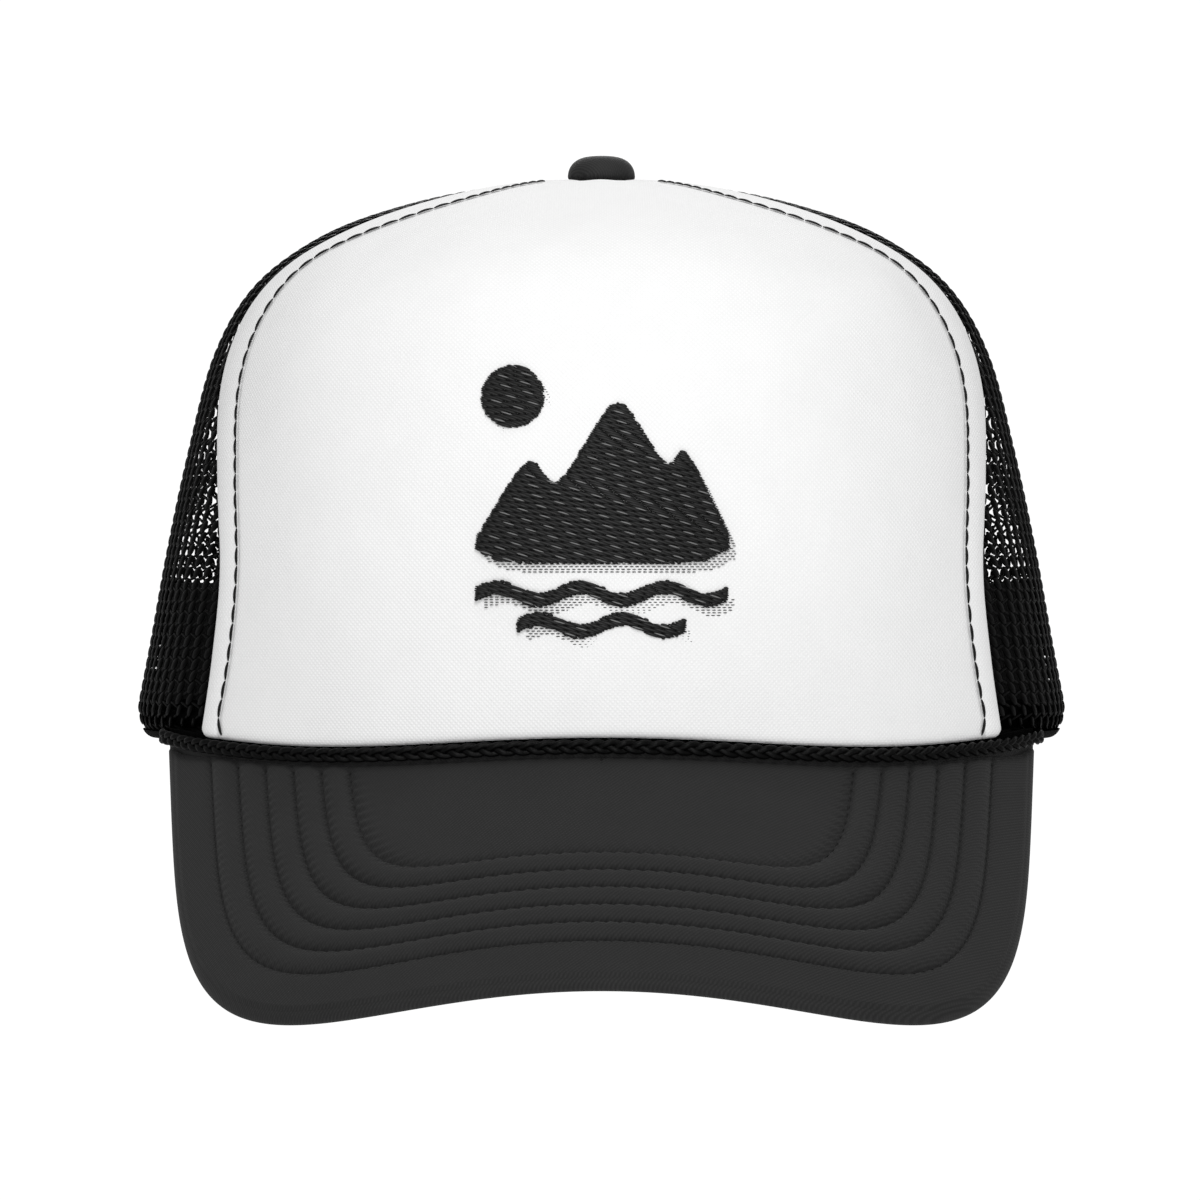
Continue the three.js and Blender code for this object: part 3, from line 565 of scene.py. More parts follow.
BUTTON_CLOTH = finish("button_twill", grey(30), grey(48), 0.7, twill, 0.8, 0.05, sheen=0.06,
                      shine=0.2)
PLASTIC = finish("moulded_plastic", grey(12), grey(20), 0.36, grains, 0.5, 0.02, coat=0.15,
                 shine=0.5)
BOARD = finish("visor_board_plastic", grey(205), grey(222), 0.5, grains, 0.8, 0.02)
LABEL = finish("woven_label", grey(214), grey(236), 0.75, ribs, 0.45, 0.04)
METAL = finish("button_metal", grey(150), grey(200), 0.32, grains, 0.25, 0.02, metallic=1.0,
               shine=0.5)

# ------------------------------------------------------------------ foam panel


def profile_lengths(bearing, count=400):
    """Shares of the profile and the length up the crown at each, in millimetres."""
    shares = np.linspace(0, 1, count)
    points = crown_surface(np.full(count, float(bearing)), shares)
    return shares, running_length(points)


FRONT_SHARES, FRONT_LENGTHS = profile_lengths(0)
ROLL_HEIGHT = 0.4
GROOVE_DEPTH = 0.22
GROOVE_WIDTH = 0.6
EDGE_ROUND = 1.5
CORNER_ROUND = 2.2
EDGE_BEARING = 50.0
FOOT_SHARE = 0.03
DEGREE_LENGTH = 1.75
SAG = 0.14
TOPSTITCH_LOW, TOPSTITCH_HIGH = 0.012, 0.905
TAIL_TURN = 1.6
BAND_DEGREE_LENGTH = 1.7


def rounded(distance, radius):
    """How far a rounded edge falls below its face, from 1 at the edge to 0."""
    share = 1 - np.clip(distance / radius, 0, 1)
    return 1 - np.sqrt(np.maximum(1 - share ** 2, 0))


def stitch_bearing(share):
    return bearing_at(TOPSTITCH_BEARINGS, share)


def cloth_uv(bearing, share):
    """Lengths round and up the crown, in metres."""
    radius = np.hypot(*np.moveaxis(crown_surface(bearing, share)[..., :2], -1, 0))
    up = np.interp(share, FRONT_SHARES, FRONT_LENGTHS)
    return np.stack([np.radians(bearing) * radius, up], -1) * MM


def band_uv(bearing, height):
    """Lengths along and up a low band round the crown, in metres."""
    return np.stack([bearing * BAND_DEGREE_LENGTH, height], -1) * MM


def foam_stations():
    """Columns across half the panel as shares of the edge and seam bearings, and a shift.

    They lie close together at the edge roll and at the stitched groove.
    """
    band = [(1 - q, q, 0) for q in (0, 0.02, 0.07, 0.15, 0.27, 0.42, 0.56)]
    groove = [(0, 1, shift) for shift in
              (0.9, 0.6, 0.35, 0.15, 0, -0.15, -0.35, -0.6, -0.9, -1.5, -2.4)]
    inner = [(0, f, -2.4 * f) for f in np.linspace(1, 0, 58)[1:]]
    half = np.array(band + groove + inner)
    return np.vstack([half * -1, half[-2::-1]])


def foam_bearings(stations, share):
    mm = degrees_for(1.0, EDGE_BEARING, share)
    edge_part, seam_part, shift = stations.T
    return edge_part * foam_edge(share) + seam_part * stitch_bearing(share) + shift * mm


def build_foam_panel():
    levels = np.concatenate([[0, 0.0008, 0.0024, 0.005, 0.009, 0.015, 0.022],
                             np.linspace(0.03, 1, 112)])[:, None]
    stations = foam_stations()
    placed = np.broadcast_to(levels * PANEL_TOP, (len(levels), len(stations)))
    for _ in range(2):
        bearing = foam_bearings(stations, placed)
        to_edge = (foam_edge(FOOT_SHARE) - np.abs(bearing)) * DEGREE_LENGTH
        corner = rounded(to_edge, CORNER_ROUND)
        foot = share_at_height(bearing, hem_height(bearing) + CORNER_ROUND * corner)
        placed = foot + (PANEL_TOP - foot) * levels
    edge, seam = foam_edge(placed), stitch_bearing(placed)
    per_mm = degrees_for(1.0, bearing, placed)
    from_edge = np.maximum(edge - np.abs(bearing), 0) / per_mm
    from_seam = (np.abs(bearing) - seam) / per_mm
    from_foot = (np.interp(placed, FRONT_SHARES, FRONT_LENGTHS)
                 - np.interp(foot, FRONT_SHARES, FRONT_LENGTHS))
    fall = np.maximum(rounded(from_edge, EDGE_ROUND), rounded(from_foot, EDGE_ROUND))
    roll = np.clip((np.abs(bearing) - seam) / np.maximum(edge - seam, 1e-3), 0, 1)
    ease = SAG * (np.sin(bearing * 0.21 + placed * 9) + np.sin(placed * 23 - bearing * 0.1))
    outer = (-FOAM_THICKNESS / 2 * fall + ROLL_HEIGHT * np.sin(np.pi * roll) ** 0.8
             - GROOVE_DEPTH * np.exp(-(from_seam / GROOVE_WIDTH) ** 2) * (1 - fall)
             + ease * (1 - fall) * smooth(-from_seam, 0, 12))
    inner = -FOAM_THICKNESS + FOAM_THICKNESS / 2 * fall
    skin = crown(bearing, placed, outer)
    back = crown(bearing, placed, inner)
    piece = make_sheet("foam_front", skin, back, cloth_uv(bearing, placed), FOAM_FACE, "foam",
                       replaces=["front_foam_panel"])
    piece.data.materials.append(FOAM_BACK)
    count = (skin.shape[0] - 1) * (skin.shape[1] - 1)
    index = np.zeros(len(piece.data.polygons), np.int32)
    index[count:2 * count] = 1
    piece.data.polygons.foreach_set("material_index", index)


def build_topstitch():
    """The stitch line inside the panel's edge. Its last stitch turns inward at the foot."""
    for side, word in ((-1, "left"), (1, "right")):
        share = np.linspace(TOPSTITCH_LOW, TOPSTITCH_HIGH, 500)
        tail = smooth(0.035 - share, 0, 0.03)
        bearing = side * stitch_bearing(share) - side * TAIL_TURN * tail
        points = crown(bearing, share, 0.1)
        normals = crown_normal(bearing, share)
        verts, faces = stitches(points, normals, pitch=3.75, length=3.75, radius=0.4,
                                sink=-0.3, dip=0.2, sides=8, flatten=0.55, blunt=0.28)
        make_piece(f"topstitch_{word}", verts, faces, THREAD, "topstitch",
                   replaces=[f"front_topstitch_{word}"])


# ------------------------------------------------------------------ knitted mesh

WALE_SPACING = 5.2
COURSE = 2.35
HALF_PILLARS = 16
YARN_RADIUS = 0.34
LOOP_LENGTH = 3.9
LOOP_RADIUS = 0.95
LOOP_LEAN = math.radians(54)
SEAM_ROW_GAP = 3.0
WELT_WIDTH = 1.5
WELT_RISE = 0.5
SIDE_SEAM_FOOT = 0.045


def outside_opening(points, margin=0.0):
    x, z = points[..., 0] / (OPENING_HALF_WIDTH + margin), points[..., 2]
    rise = np.maximum(z - OPENING_STRAIGHT, 0) / (OPENING_HEIGHT - OPENING_STRAIGHT + margin)
    return (points[..., 1] < 0) | (x ** 2 + rise ** 2 > 1)


def build_net(name, node, middle, near, far):
    """A raschel net: pillars of leaning loops, and laid-in yarns from pillar to pillar."""
    shares, lengths = profile_lengths(middle)
    course, pillar = np.meshgrid(np.arange(int(lengths[-1] / COURSE)),
                                 np.arange(-HALF_PILLARS, HALF_PILLARS + 1))
    lean = -np.sign(middle) * math.sin(LOOP_LEAN)

    def inside(bearing, share, spot):
        lowest = np.minimum(near(share), far(share))
        highest = np.maximum(near(share), far(share))
        return ((bearing > lowest) & (bearing < highest) & (share < PANEL_TOP)
                & (spot[..., 2] > hem_fold_height(bearing) + 0.9) & outside_opening(spot, 2.0))

    def place(steps_across, steps_up, lift=0.0):
        """A spot on the cloth's middle layer, which curls under with the hem at the foot."""
        share = np.interp(steps_up * COURSE, lengths, shares)
        turn = degrees_for(WALE_SPACING, np.full(share.shape, float(middle)), share)
        bearing = middle + turn * steps_across
        above = crown_surface(bearing, share)[..., 2] - hem_fold_height(bearing)
        curl = HEM_CURL * np.clip(1 - above / BINDING_WIDTH, 0, 1) ** 2
        return bearing, share, crown(bearing, share, lift - MESH_THICKNESS / 2 - curl)

    parts = []
    bearing, share, spot = place(pillar, course + 0.0, 0.1)
    keep = inside(bearing, share, spot)
    normal = crown_normal(bearing, share)[keep]
    upward = unit((place(pillar, course + 0.5)[2] - place(pillar, course - 0.5)[2])[keep])
    sideways = unit(np.cross(upward, normal))
    leaning = unit(upward * math.cos(LOOP_LEAN) + sideways * lean)
    template, faces = spindle(LOOP_LENGTH, LOOP_RADIUS, rings=7, sides=10, blunt=0.55,
                              flatten=0.42)
    frames = np.stack([leaning, np.cross(normal, leaning), normal], 1)
    parts.append(scatter(template, faces, spot[keep], frames))

    slant = np.where(course % 2 == 0, 0.35, -0.35)
    bearing, share, spot = place(pillar + 0.5, course + 0.5, -0.1)
    keep = inside(bearing, share, spot)
    run = (place(pillar + 1.0, course + 0.5 + slant)[2]
           - place(pillar + 0.0, course + 0.5 - slant)[2])[keep]
    normal = crown_normal(bearing, share)[keep]
    side = unit(np.cross(normal, run))
    template, faces = spindle(1.0, YARN_RADIUS, rings=5, sides=6, blunt=0.3, flatten=0.8)
    parts.append(scatter(template, faces, spot[keep], np.stack([run, side, normal], 1)))
    make_merged(name, parts, NET_YARN, "mesh", replaces=[node])


def seam_stitches(name, bearing_of, low):
    """Two stitch rows beside a seam, and the folded welt between them."""
    share = np.linspace(low, PANEL_TOP, 300)
    base = bearing_of(share)
    parts = []
    for side in (-1, 1):
        bearing = base + side * degrees_for(SEAM_ROW_GAP, base, share)
        points = crown(bearing, share, 0.05)
        parts.append(stitches(points, crown_normal(bearing, share), 2.6, 2.25, 0.24))
    turn = np.arange(8) * math.pi / 4
    share = np.linspace(low, PANEL_TOP, 110)
    base = bearing_of(share)
    middle = crown(base, share, -0.2)
    normal = crown_normal(base, share)
    ahead = unit(np.gradient(middle, axis=0))
    aside = np.cross(normal, ahead)
    rings = (middle[:, None] + WELT_WIDTH / 2 * np.cos(turn)[None, :, None] * aside[:, None]
             + WELT_RISE * np.sin(turn)[None, :, None] * normal[:, None])
    parts.append(closed_tube(rings))
    make_merged(name, parts, THREAD, "mesh")


def foam_line(side):
    return lambda share: side * foam_edge(share)


def steady_line(bearing):
    return lambda share: bearing + 0 * share


def build_nets():
    for side, word in ((-1, "left"), (1, "right")):
        seam = steady_line(side * SIDE_SEAM)
        build_net(f"net_side_{word}", f"side_mesh_{word}", side * 85.0,
                  lambda share, side=side: side * (foam_edge(share) + 0.3), seam)
        build_net(f"net_rear_{word}", f"rear_mesh_{word}", side * 147.0, seam,
                  steady_line(side * 180.0))
        seam_stitches(f"side_seam_{word}", seam, SIDE_SEAM_FOOT)
    top_of_opening = float(share_at_height(180.0, OPENING_HEIGHT + 5))
    seam_stitches("rear_seam", steady_line(180.0), top_of_opening)


# ------------------------------------------------------------------ visor

CHANNEL_RISE = 1.9
SCALLOP = 0.24
VISOR_CLOTH_THICKNESS = 0.5
ROW_INSETS = [VISOR_OUTLINE["front"] - row_outline(k)["front"] for k in range(ROW_COUNT)]
SEAM_END = 64.0
LAST_INSET = VISOR_OUTLINE["front"] - ROOT_TABLE[1][0] - 0.15
RING_POINTS = 420


def ring_outline(inset):
    """The outline a distance inside the visor's front edge, in step with the stitch rows."""
    rows = [row_outline(k) for k in range(ROW_COUNT)]
    insets = [0.0, *ROW_INSETS, LAST_INSET]
    widths = [VISOR_OUTLINE["half_width"], *(r["half_width"] for r in rows), 0.6]
    powers = [VISOR_OUTLINE["power"], *(r["power"] for r in rows), 3.0]
    return dict(half_width=float(np.interp(inset, insets, widths)),
                front=VISOR_OUTLINE["front"] - inset, back=VISOR_OUTLINE["back"],
                taper=0.09, power=float(np.interp(inset, insets, powers)))


def ring_points(inset, count=RING_POINTS, trim=0.0):
    """Points round a ring, from the visor's root on one side to the other."""
    line = outline_points(ring_outline(inset), count=3000)
    root = np.interp(np.abs(line[:, 0]), ROOT_TABLE[0], ROOT_TABLE[1])
    return resample(line[line[:, 1] >= root + trim], count)


def face_insets():
    """Rings over the flat part of a cover, close together beside each stitch row."""
    border = [1.9, 2.6, 4.2, 6.0, 8.0, 9.6]
    near_row = (-1.3, -0.75, -0.4, -0.15, 0, 0.15, 0.4, 0.75, 1.3)
    rows = [inset + shift for inset in ROW_INSETS for shift in near_row]
    channels = [inset + step for inset in ROW_INSETS[:-1] for step in (2.0, 2.55, 3.1)]
    inner = np.linspace(ROW_INSETS[-1] + 2.4, LAST_INSET, 20)
    return np.sort(np.concatenate([border, rows, channels, inner]))


def channel_height(inset):
    """Relief of the quilted face: it sinks at each row and swells between the rows."""
    to_row = np.min(np.abs(inset - np.array(ROW_INSETS)))
    inside = ROW_INSETS[0] < inset < ROW_INSETS[-1]
    swell = CHANNEL_RISE * (0.75 if inside else 0.4)
    return swell * (1 - math.exp(-to_row / 0.8)) - 0.3 * math.exp(-(to_row / 0.45) ** 2)


def scallop_height(inset, along):
    """The cloth beside a row, drawn down at each stitch."""
    to_row = np.min(np.abs(inset - np.array(ROW_INSETS)))
    beside = math.exp(-((to_row - 0.6) / 0.5) ** 2)
    return SCALLOP * beside * np.sin(2 * math.pi * along / STITCH_PITCH)


def build_visor_cover(name, node, under):
    """One cover with its stitched channels. The top one wraps round the visor's edge."""
    half = VISOR_THICKNESS / 2
    turn = np.radians(np.linspace(-58, -90, 5) if under else np.linspace(-52, 90, 13))
    flat = face_insets()
    side = -1 if under else 1
    sheets = []
    for radius, padding in ((half, 1), (half - VISOR_CLOTH_THICKNESS, 0)):
        insets = np.concatenate([half - radius * np.cos(turn), flat])
        rings = np.array([ring_points(inset) for inset in insets])
        across, forward = rings[..., 0], rings[..., 1]
        root = np.interp(np.abs(across), ROOT_TABLE[0], ROOT_TABLE[1])
        level = np.repeat((radius * np.sin(turn))[:, None], RING_POINTS, axis=1)
        swell = np.array([channel_height(inset) + scallop_height(inset, along)
                          for inset, along in zip(flat, ring_lengths(rings)[len(turn):])])
        ease = padding * smooth(forward - root, -0.5, 3.5)[len(turn):]
        level = np.vstack([level, side * (radius + swell * ease)])
        sheets.append((rings, visor_to_cap(across, forward,
                                           visor_face(across, forward) - half + level)))
    rings, outer = sheets[0]
    inner = sheets[1][1]
    piece = make_sheet(name, outer, inner, rings * MM, VISOR_CLOTH, "visor_fabric",
                       replaces=[node])
    insets = np.concatenate([np.zeros(len(turn)), flat])
    along = ring_lengths(rings)
    to_row = np.min(np.abs(insets[:, None] - np.array(ROW_INSETS)[None, :]), axis=1)
    seam_uv = np.stack([along, np.broadcast_to(to_row[:, None], along.shape)], -1) * MM
    add_uv(piece, "seams", np.vstack([seam_uv.reshape(-1, 2)] * 2))


def build_visor_rows():
    for row, inset in enumerate(ROW_INSETS):
        line = ring_points(inset, count=700, trim=1.4)
        across, forward = line[:, 0], line[:, 1]
        parts = []
        for lift, up in ((0.02, 1), (-VISOR_THICKNESS - 0.02, -1)):
            points = visor_to_cap(across, forward, visor_face(across, forward) + lift)
            above = visor_to_cap(across, forward, visor_face(across, forward) + lift + up)
            parts.append(stitches(points, unit(above - points), STITCH_PITCH, 2.15, 0.24,
                                  sink=0.16, dip=0.3))
        make_merged(f"visor_stitches_{row + 1}", parts, VISOR_THREAD, "visor_thread",
                    replaces=[f"visor_stitch_row_{row + 1}"])


def build_braid():
    """Three plaited strands over the seam between the visor and the crown."""
    plait_length, swing, depth, strand = 9.3, 0.86, 0.34, 0.62
    bearing = np.linspace(-BRAID_END - 2, BRAID_END + 2, 780)
    tuck = 2.6 * smooth(np.abs(bearing), BRAID_END - 2.5, BRAID_END + 2)
    base = crown(bearing, 0.0, 0.2 - tuck)
    base[:, 2] = (visor_root_height(bearing) + ROOT_TO_HEM / 2 + 0.15
                  + BRAID_END_RISE * smooth(np.abs(bearing), 54, 66))
    along = running_length(base)
    outward = unit(crown_normal(bearing, np.zeros(len(bearing))) * (1, 1, 0))
    upward = np.array([0, 0, 1.0])
    parts = []
    for k in range(3):
        phase = 2 * math.pi * (along / plait_length + k / 3)
        centre = (base + swing * np.sin(phase)[:, None] * upward
                  + depth * np.sin(2 * phase)[:, None] * outward)
        ahead = unit(np.gradient(centre, axis=0))
        aside = unit(np.cross(outward, ahead))
        turn = np.arange(9) * 2 * math.pi / 9
        rings = (centre[:, None] + strand * np.cos(turn)[None, :, None] * aside[:, None]
                 + 0.8 * strand * np.sin(turn)[None, :, None] * outward[:, None])
        parts.append(closed_tube(rings))
    make_merged("braid_plait", parts, BRAID_YARN, "braid", replaces=["visor_braid"])


def build_visor_seam():
    """The turned-up edges of the visor and the crown where they join, behind the braid."""
    bearing, up = np.meshgrid(np.linspace(-SEAM_END, SEAM_END, 200), np.linspace(0, 1, 9),
                              indexing="ij")
    end = smooth(np.abs(bearing), 54, 62)
    root = visor_root_height(bearing)
    low = root - (VISOR_THICKNESS + 0.4) * (1 - 0.55 * end)
    middle = root + ROOT_TO_HEM / 2 + 0.4 * end
    high = hem_height(bearing) + 0.6
    out = unit(crown_normal(bearing, 0 * bearing) * (1, 1, 0))
    front = ROOT_INSET - 0.05 - 0.8 * end
    for name, start, stop, material, slot in (
            ("visor_seam_edge", low, middle, VISOR_CLOTH, "visor_fabric"),
            ("crown_seam_edge", middle, high, BINDING, "binding")):
        height = start + (stop - start) * up
        foot = crown_surface(bearing, 0.0) * (1, 1, 0) + height[..., None] * (0, 0, 1)
        make_sheet(name, foot + out * front[..., None], foot + out * (front - 1)[..., None],
                   band_uv(bearing, height), material, slot)


# ------------------------------------------------------------------ embroidery

HATCH_TURN = math.radians(-17)
SATIN_SPACING = 0.4
SATIN_LENGTH = 4.6


def front_spot(x, z):
    """Bearing and share of the front crown point at a place across and a height."""
    x, z = np.broadcast_arrays(np.asarray(x, float), np.asarray(z, float))
    bearing = np.zeros(x.shape)
    for _ in range(8):
        share = share_at_height(bearing, z)
        spot = crown_surface(bearing, share)
        bearing = np.degrees(np.arcsin(np.clip(x / np.hypot(spot[..., 0], spot[..., 1]), -1, 1)))
    return bearing, share


def wave_outline(half_length, height, waves, swing=1.2, breadth=2.6):
    x = np.linspace(-half_length, half_length, waves * 16 + 1)
    z = height + swing * np.sin(math.pi * waves * (x / half_length + 1))
    return np.vstack([np.stack([x, z], -1), np.stack([x, z - breadth], -1)[::-1]])


def circle_outline(x, z, radius, count=48):
    turn = np.arange(count) * 2 * math.pi / count
    return np.stack([x + radius * np.cos(turn), z + radius * np.sin(turn)], -1)


def softened(outline, rounds=3):
    """Cuts an outline's corners so that it looks drawn with thread."""
    for _ in range(rounds):
        ahead = np.roll(outline, -1, axis=0)
        outline = np.stack([0.85 * outline + 0.15 * ahead, 0.15 * outline + 0.85 * ahead],
                           1).reshape(-1, 2)
    return outline


EMBLEM = {
    "mountains": softened(np.array([(-27, 36), (-14, 57), (-8.5, 50), (3, 69), (12.5, 54),
                                    (16, 58.5), (27, 36)], float), 2),
    "sun": circle_outline(-17, 68, 6),
    "wave_upper": wave_outline(24, 31.5, 3),
    "wave_lower": wave_outline(16, 25.5, 2),
}


def spans(outline, turn, spacing):
    """Parallel lines clipped to an outline, as start and end points."""
    c, s = math.cos(turn), math.sin(turn)
    along = outline[:, 0] * c + outline[:, 1] * s
    aside = -outline[:, 0] * s + outline[:, 1] * c
    found = []
    for level in np.arange(aside.min() + spacing / 2, aside.max(), spacing):
        a, b = aside, np.roll(aside, -1)
        crossing = (a > level) != (b > level)
        share = (level - a[crossing]) / (b[crossing] - a[crossing])
        hits = np.sort(along[crossing] + share * (np.roll(along, -1) - along)[crossing])
        for low, high in zip(hits[::2], hits[1::2]):
            found.append((low, high, level))
    return found, (c, s)


def thread_run(pieces, direction, radius, lift, blunt=0.45, sides=6, flatten=0.8):
    """Straight stitches laid on the foam, from (low, high, level) spans."""
    c, s = direction
    ends = np.array(pieces)
    ends_2d = [np.stack([ends[:, k] * c - ends[:, 2] * s, ends[:, k] * s + ends[:, 2] * c], -1)
               for k in (0, 1)]
    start, end = (crown(*front_spot(p[:, 0], p[:, 1]), lift) for p in ends_2d)
    middle = (start + end) / 2
    bearing, share = front_spot(*np.moveaxis((ends_2d[0] + ends_2d[1]) / 2, -1, 0))
    surface = crown(bearing, share, lift)
    normal = crown_normal(bearing, share)
    run = end - start
    side = unit(np.cross(normal, run))
    template, faces = spindle(1.0, radius, rings=7, sides=sides, blunt=blunt, dip=radius * 0.8,
                              flatten=flatten)
    return scatter(template, faces, (middle + surface) / 2,
                   np.stack([run, side, normal], 1))


def satin(outline):
    pieces = []
    found, direction = spans(outline, HATCH_TURN, SATIN_SPACING)
    for i, (low, high, level) in enumerate(found):
        low, high = low - rng.uniform(0, 0.25), high + rng.uniform(0, 0.25)
        first = low + SATIN_LENGTH * ((i * 0.37) % 1)
        cuts = [low, *np.arange(first, high, SATIN_LENGTH), high]
        for a, b in zip(cuts[:-1], cuts[1:]):
            if b - a > 0.35:
                pieces.append((a - 0.12, b + 0.12, level))
    return thread_run(pieces, direction, 0.3, 0.55)


def painted_highlight_hatch(outline):
    """Short pale stitches in staggered lines over the dark fill. They are a painted highlight: their
    pale colour stands in for the light that catches between the satin stitches.
    """
    pieces = []
    found, direction = spans(outline, HATCH_TURN, 1.65)
    for i, (low, high, level) in enumerate(found):
        first = low + 1.0 + 4.4 * ((i * 0.61) % 1)
        for a in np.arange(first, high - 2.4, 4.4):
            pieces.append((a, a + 2.3, level))
    return thread_run(pieces, direction, 0.13, 0.86) if pieces else None


def fine_shadow(outline, shift=(1.5, -1.9)):
    """Thin stitches that show past the outline's lower right side."""
    moved = outline + np.array(shift)
    pieces = []
    found, direction = spans(moved, 0.0, 0.5)
    for i, (low, high, level) in enumerate(found):
        first = low + 0.55 * (i % 2)
        for a in np.arange(first, high, 1.05):
            b = min(a + 0.8, high)
            if b - a > 0.3 and not covered(outline, (a + b) / 2, level):
                pieces.append((a, b, level))
    return thread_run(pieces, direction, 0.1, 0.1, sides=5) if pieces else None


def covered(outline, x, z):
    a, b = outline, np.roll(outline, -1, axis=0)
    crossing = (a[:, 1] > z) != (b[:, 1] > z)
    hits = a[crossing, 0] + (z - a[crossing, 1]) / (b[crossing, 1] - a[crossing, 1]) * (
        b[crossing, 0] - a[crossing, 0])
    return (hits > x).sum() % 2 == 1


def build_embroidery():
    for part, outline in EMBLEM.items():
        verts, faces = satin(outline)
        make_piece(f"satin_{part}", verts, faces, SATIN, "embroidery",
                   replaces=[f"embroidered_{part}"])
        # The pale hatch stitches are painted highlights over the dark satin fill.
        for label, made, material in (("highlight_stitches", painted_highlight_hatch(outline), PAINTED_HIGHLIGHT_THREAD),
                                      ("shadow", fine_shadow(outline), THREAD)):
            if made:
                make_piece(f"{label}_{part}", *made, material, "embroidery")

# ------------------------------------------------------------------ bindings and tapes

BINDING_THICKNESS = 0.35
BINDING_WIDTH = 7.0
STITCH_MARGIN = 1.4
HEM_OUTER_LEG = 1.3
BINDING_REACH = MESH_THICKNESS / 2 + 0.02 + BINDING_THICKNESS / 2
HEM_CURL = 3.6
TAPE_THICKNESS = 0.5
TAPE_HALF_WIDTH = 6.0
TAPE_STITCH = dict(pitch=2.6, length=2.2, radius=0.2)
NEARLY_STRAIGHT = 1000.0
HEM_TAPE_END = 148.5
ARCH_BEND = 110.0


def binding_section(outer_leg, legs=5, bends=9):
    """Depth and rise round a folded binding's outer face, then back along its inner one."""
    rows = []
    for shift in (BINDING_THICKNESS / 2, -BINDING_THICKNESS / 2):
        radius = BINDING_REACH + shift
        limit = BINDING_REACH + BINDING_THICKNESS / 2
        leg = [(d, radius) for d in np.linspace(outer_leg, limit, legs)]
        turn = np.linspace(0, math.pi, bends + 2)[1:-1]
        bend = [(limit - radius * math.sin(t), radius * math.cos(t)) for t in turn]
        back = [(d, -radius) for d in np.linspace(limit, BINDING_WIDTH, legs)]
        rows.append(leg + bend + back)
    return np.array(rows[0] + rows[1][::-1])


def build_binding(name, node, edge, inward, outward, bend, outer_leg, curl=0.0):
    """Tape folded over an edge, with a stitch row on each leg that is wide enough."""
    section = binding_section(outer_leg)
    depth, rise = section[:, 0], section[:, 1] - MESH_THICKNESS / 2

    def place(depth, rise):
        fall = depth ** 2 / (2 * bend) + curl * np.clip(1 - depth / BINDING_WIDTH, 0, 1) ** 2
        return (edge[:, None] + inward[:, None] * depth[None, :, None]
                + outward[:, None] * (rise - fall)[None, :, None])

    rings = place(depth, rise)
    verts, faces = tube(rings)
    lengths = np.meshgrid(running_length(edge), running_length(section), indexing="ij")
    uv = np.stack(lengths, -1) * MM
    make_piece(name, verts, facing_out(verts, faces), BINDING, "binding", replaces=[node],
               uv=uv.reshape(-1, 2))
    sew = []
    middle, face = -MESH_THICKNESS / 2, BINDING_REACH + BINDING_THICKNESS / 2
    sewn_legs = [(BINDING_WIDTH - 1.6, -1)]
    if outer_leg > STITCH_MARGIN:
        sewn_legs.append((outer_leg - STITCH_MARGIN, 1))
    for depth, sign in sewn_legs:
        line = place(np.array([depth]), np.array([middle + sign * face]))[:, 0]
        sew.append(stitches(line, outward * sign, **TAPE_STITCH, sink=0.08))
    make_merged(f"{name}_stitches", sew, THREAD, "binding")


def rear_spot(x, z):
    bearing = np.full(np.shape(x), 180.0)
    for _ in range(8):
        share = share_at_height(bearing, z)
        spot = crown_surface(bearing, share)
        bearing = 180 - np.degrees(np.arcsin(x / np.hypot(spot[..., 0], spot[..., 1])))
    return bearing, share


def build_bindings():
    for side, word in ((-1, "left"), (1, "right")):
        start = foam_edge(np.array(FOOT_SHARE)) + 0.2
        bearing = side * np.linspace(start, HEM_TAPE_END, 120)
        share = share_at_height(bearing, hem_fold_height(bearing))
        edge = crown_surface(bearing, share)
        up = unit(crown_surface(bearing, share + 0.03) - edge)
        build_binding(f"hem_tape_{word}", f"hem_binding_{word}", edge, up,
                      crown_normal(bearing, share), NEARLY_STRAIGHT, HEM_OUTER_LEG, HEM_CURL)
    turn = np.linspace(0, math.pi, 220)
    arch = np.stack([OPENING_HALF_WIDTH * np.cos(turn), OPENING_STRAIGHT
                     + (OPENING_HEIGHT - OPENING_STRAIGHT) * np.sin(turn)], -1)
    low = np.array([[OPENING_HALF_WIDTH, 0.2]])
    outline = resample(np.vstack([low, arch, low * (-1, 1)]), 140)
    bearing, share = rear_spot(outline[:, 0], outline[:, 1])
    edge = crown_surface(bearing, share)
    outward = crown_normal(bearing, share)
    inward = unit(np.cross(outward, unit(np.gradient(edge, axis=0))))
    build_binding("opening_tape", "rear_opening_binding", edge, inward, outward, ARCH_BEND,
                  BINDING_WIDTH)


def build_tape(name, node, bearing_of, depth, low):
    """A woven tape under a seam, narrowing towards the button, sewn along both edges."""
    share = np.linspace(low, PANEL_TOP, 110)
    base = bearing_of(share)
    half = (degrees_for(TAPE_HALF_WIDTH, base, share)
            * np.clip((1 - share) / 0.12, 0.35, 1))
    spread = np.array([-1, -0.93, -0.75, -0.4, 0, 0.4, 0.75, 0.93, 1])
    bearing = base[:, None] + half[:, None] * spread
    level = np.broadcast_to(share[:, None], bearing.shape)
    thin = 0.18 * np.abs(spread) ** 8
    top = -depth - 0.3
    under = top - TAPE_THICKNESS + thin - 0.12 * (1 - spread ** 2)
    skin = crown(bearing, level, top)
    back = crown(bearing, level, under)
    make_sheet(name, skin, back, cloth_uv(bearing, level), TAPE, "seam_tape", replaces=[node])
    sew = []
    for side in (-0.72, 0.72):
        line = crown(base + side * half, share, top - TAPE_THICKNESS - 0.02)
        sew.append(stitches(line, -crown_normal(base, share), **TAPE_STITCH, sink=0.06))
    make_merged(f"{name}_stitches", sew, THREAD, "seam_tape")


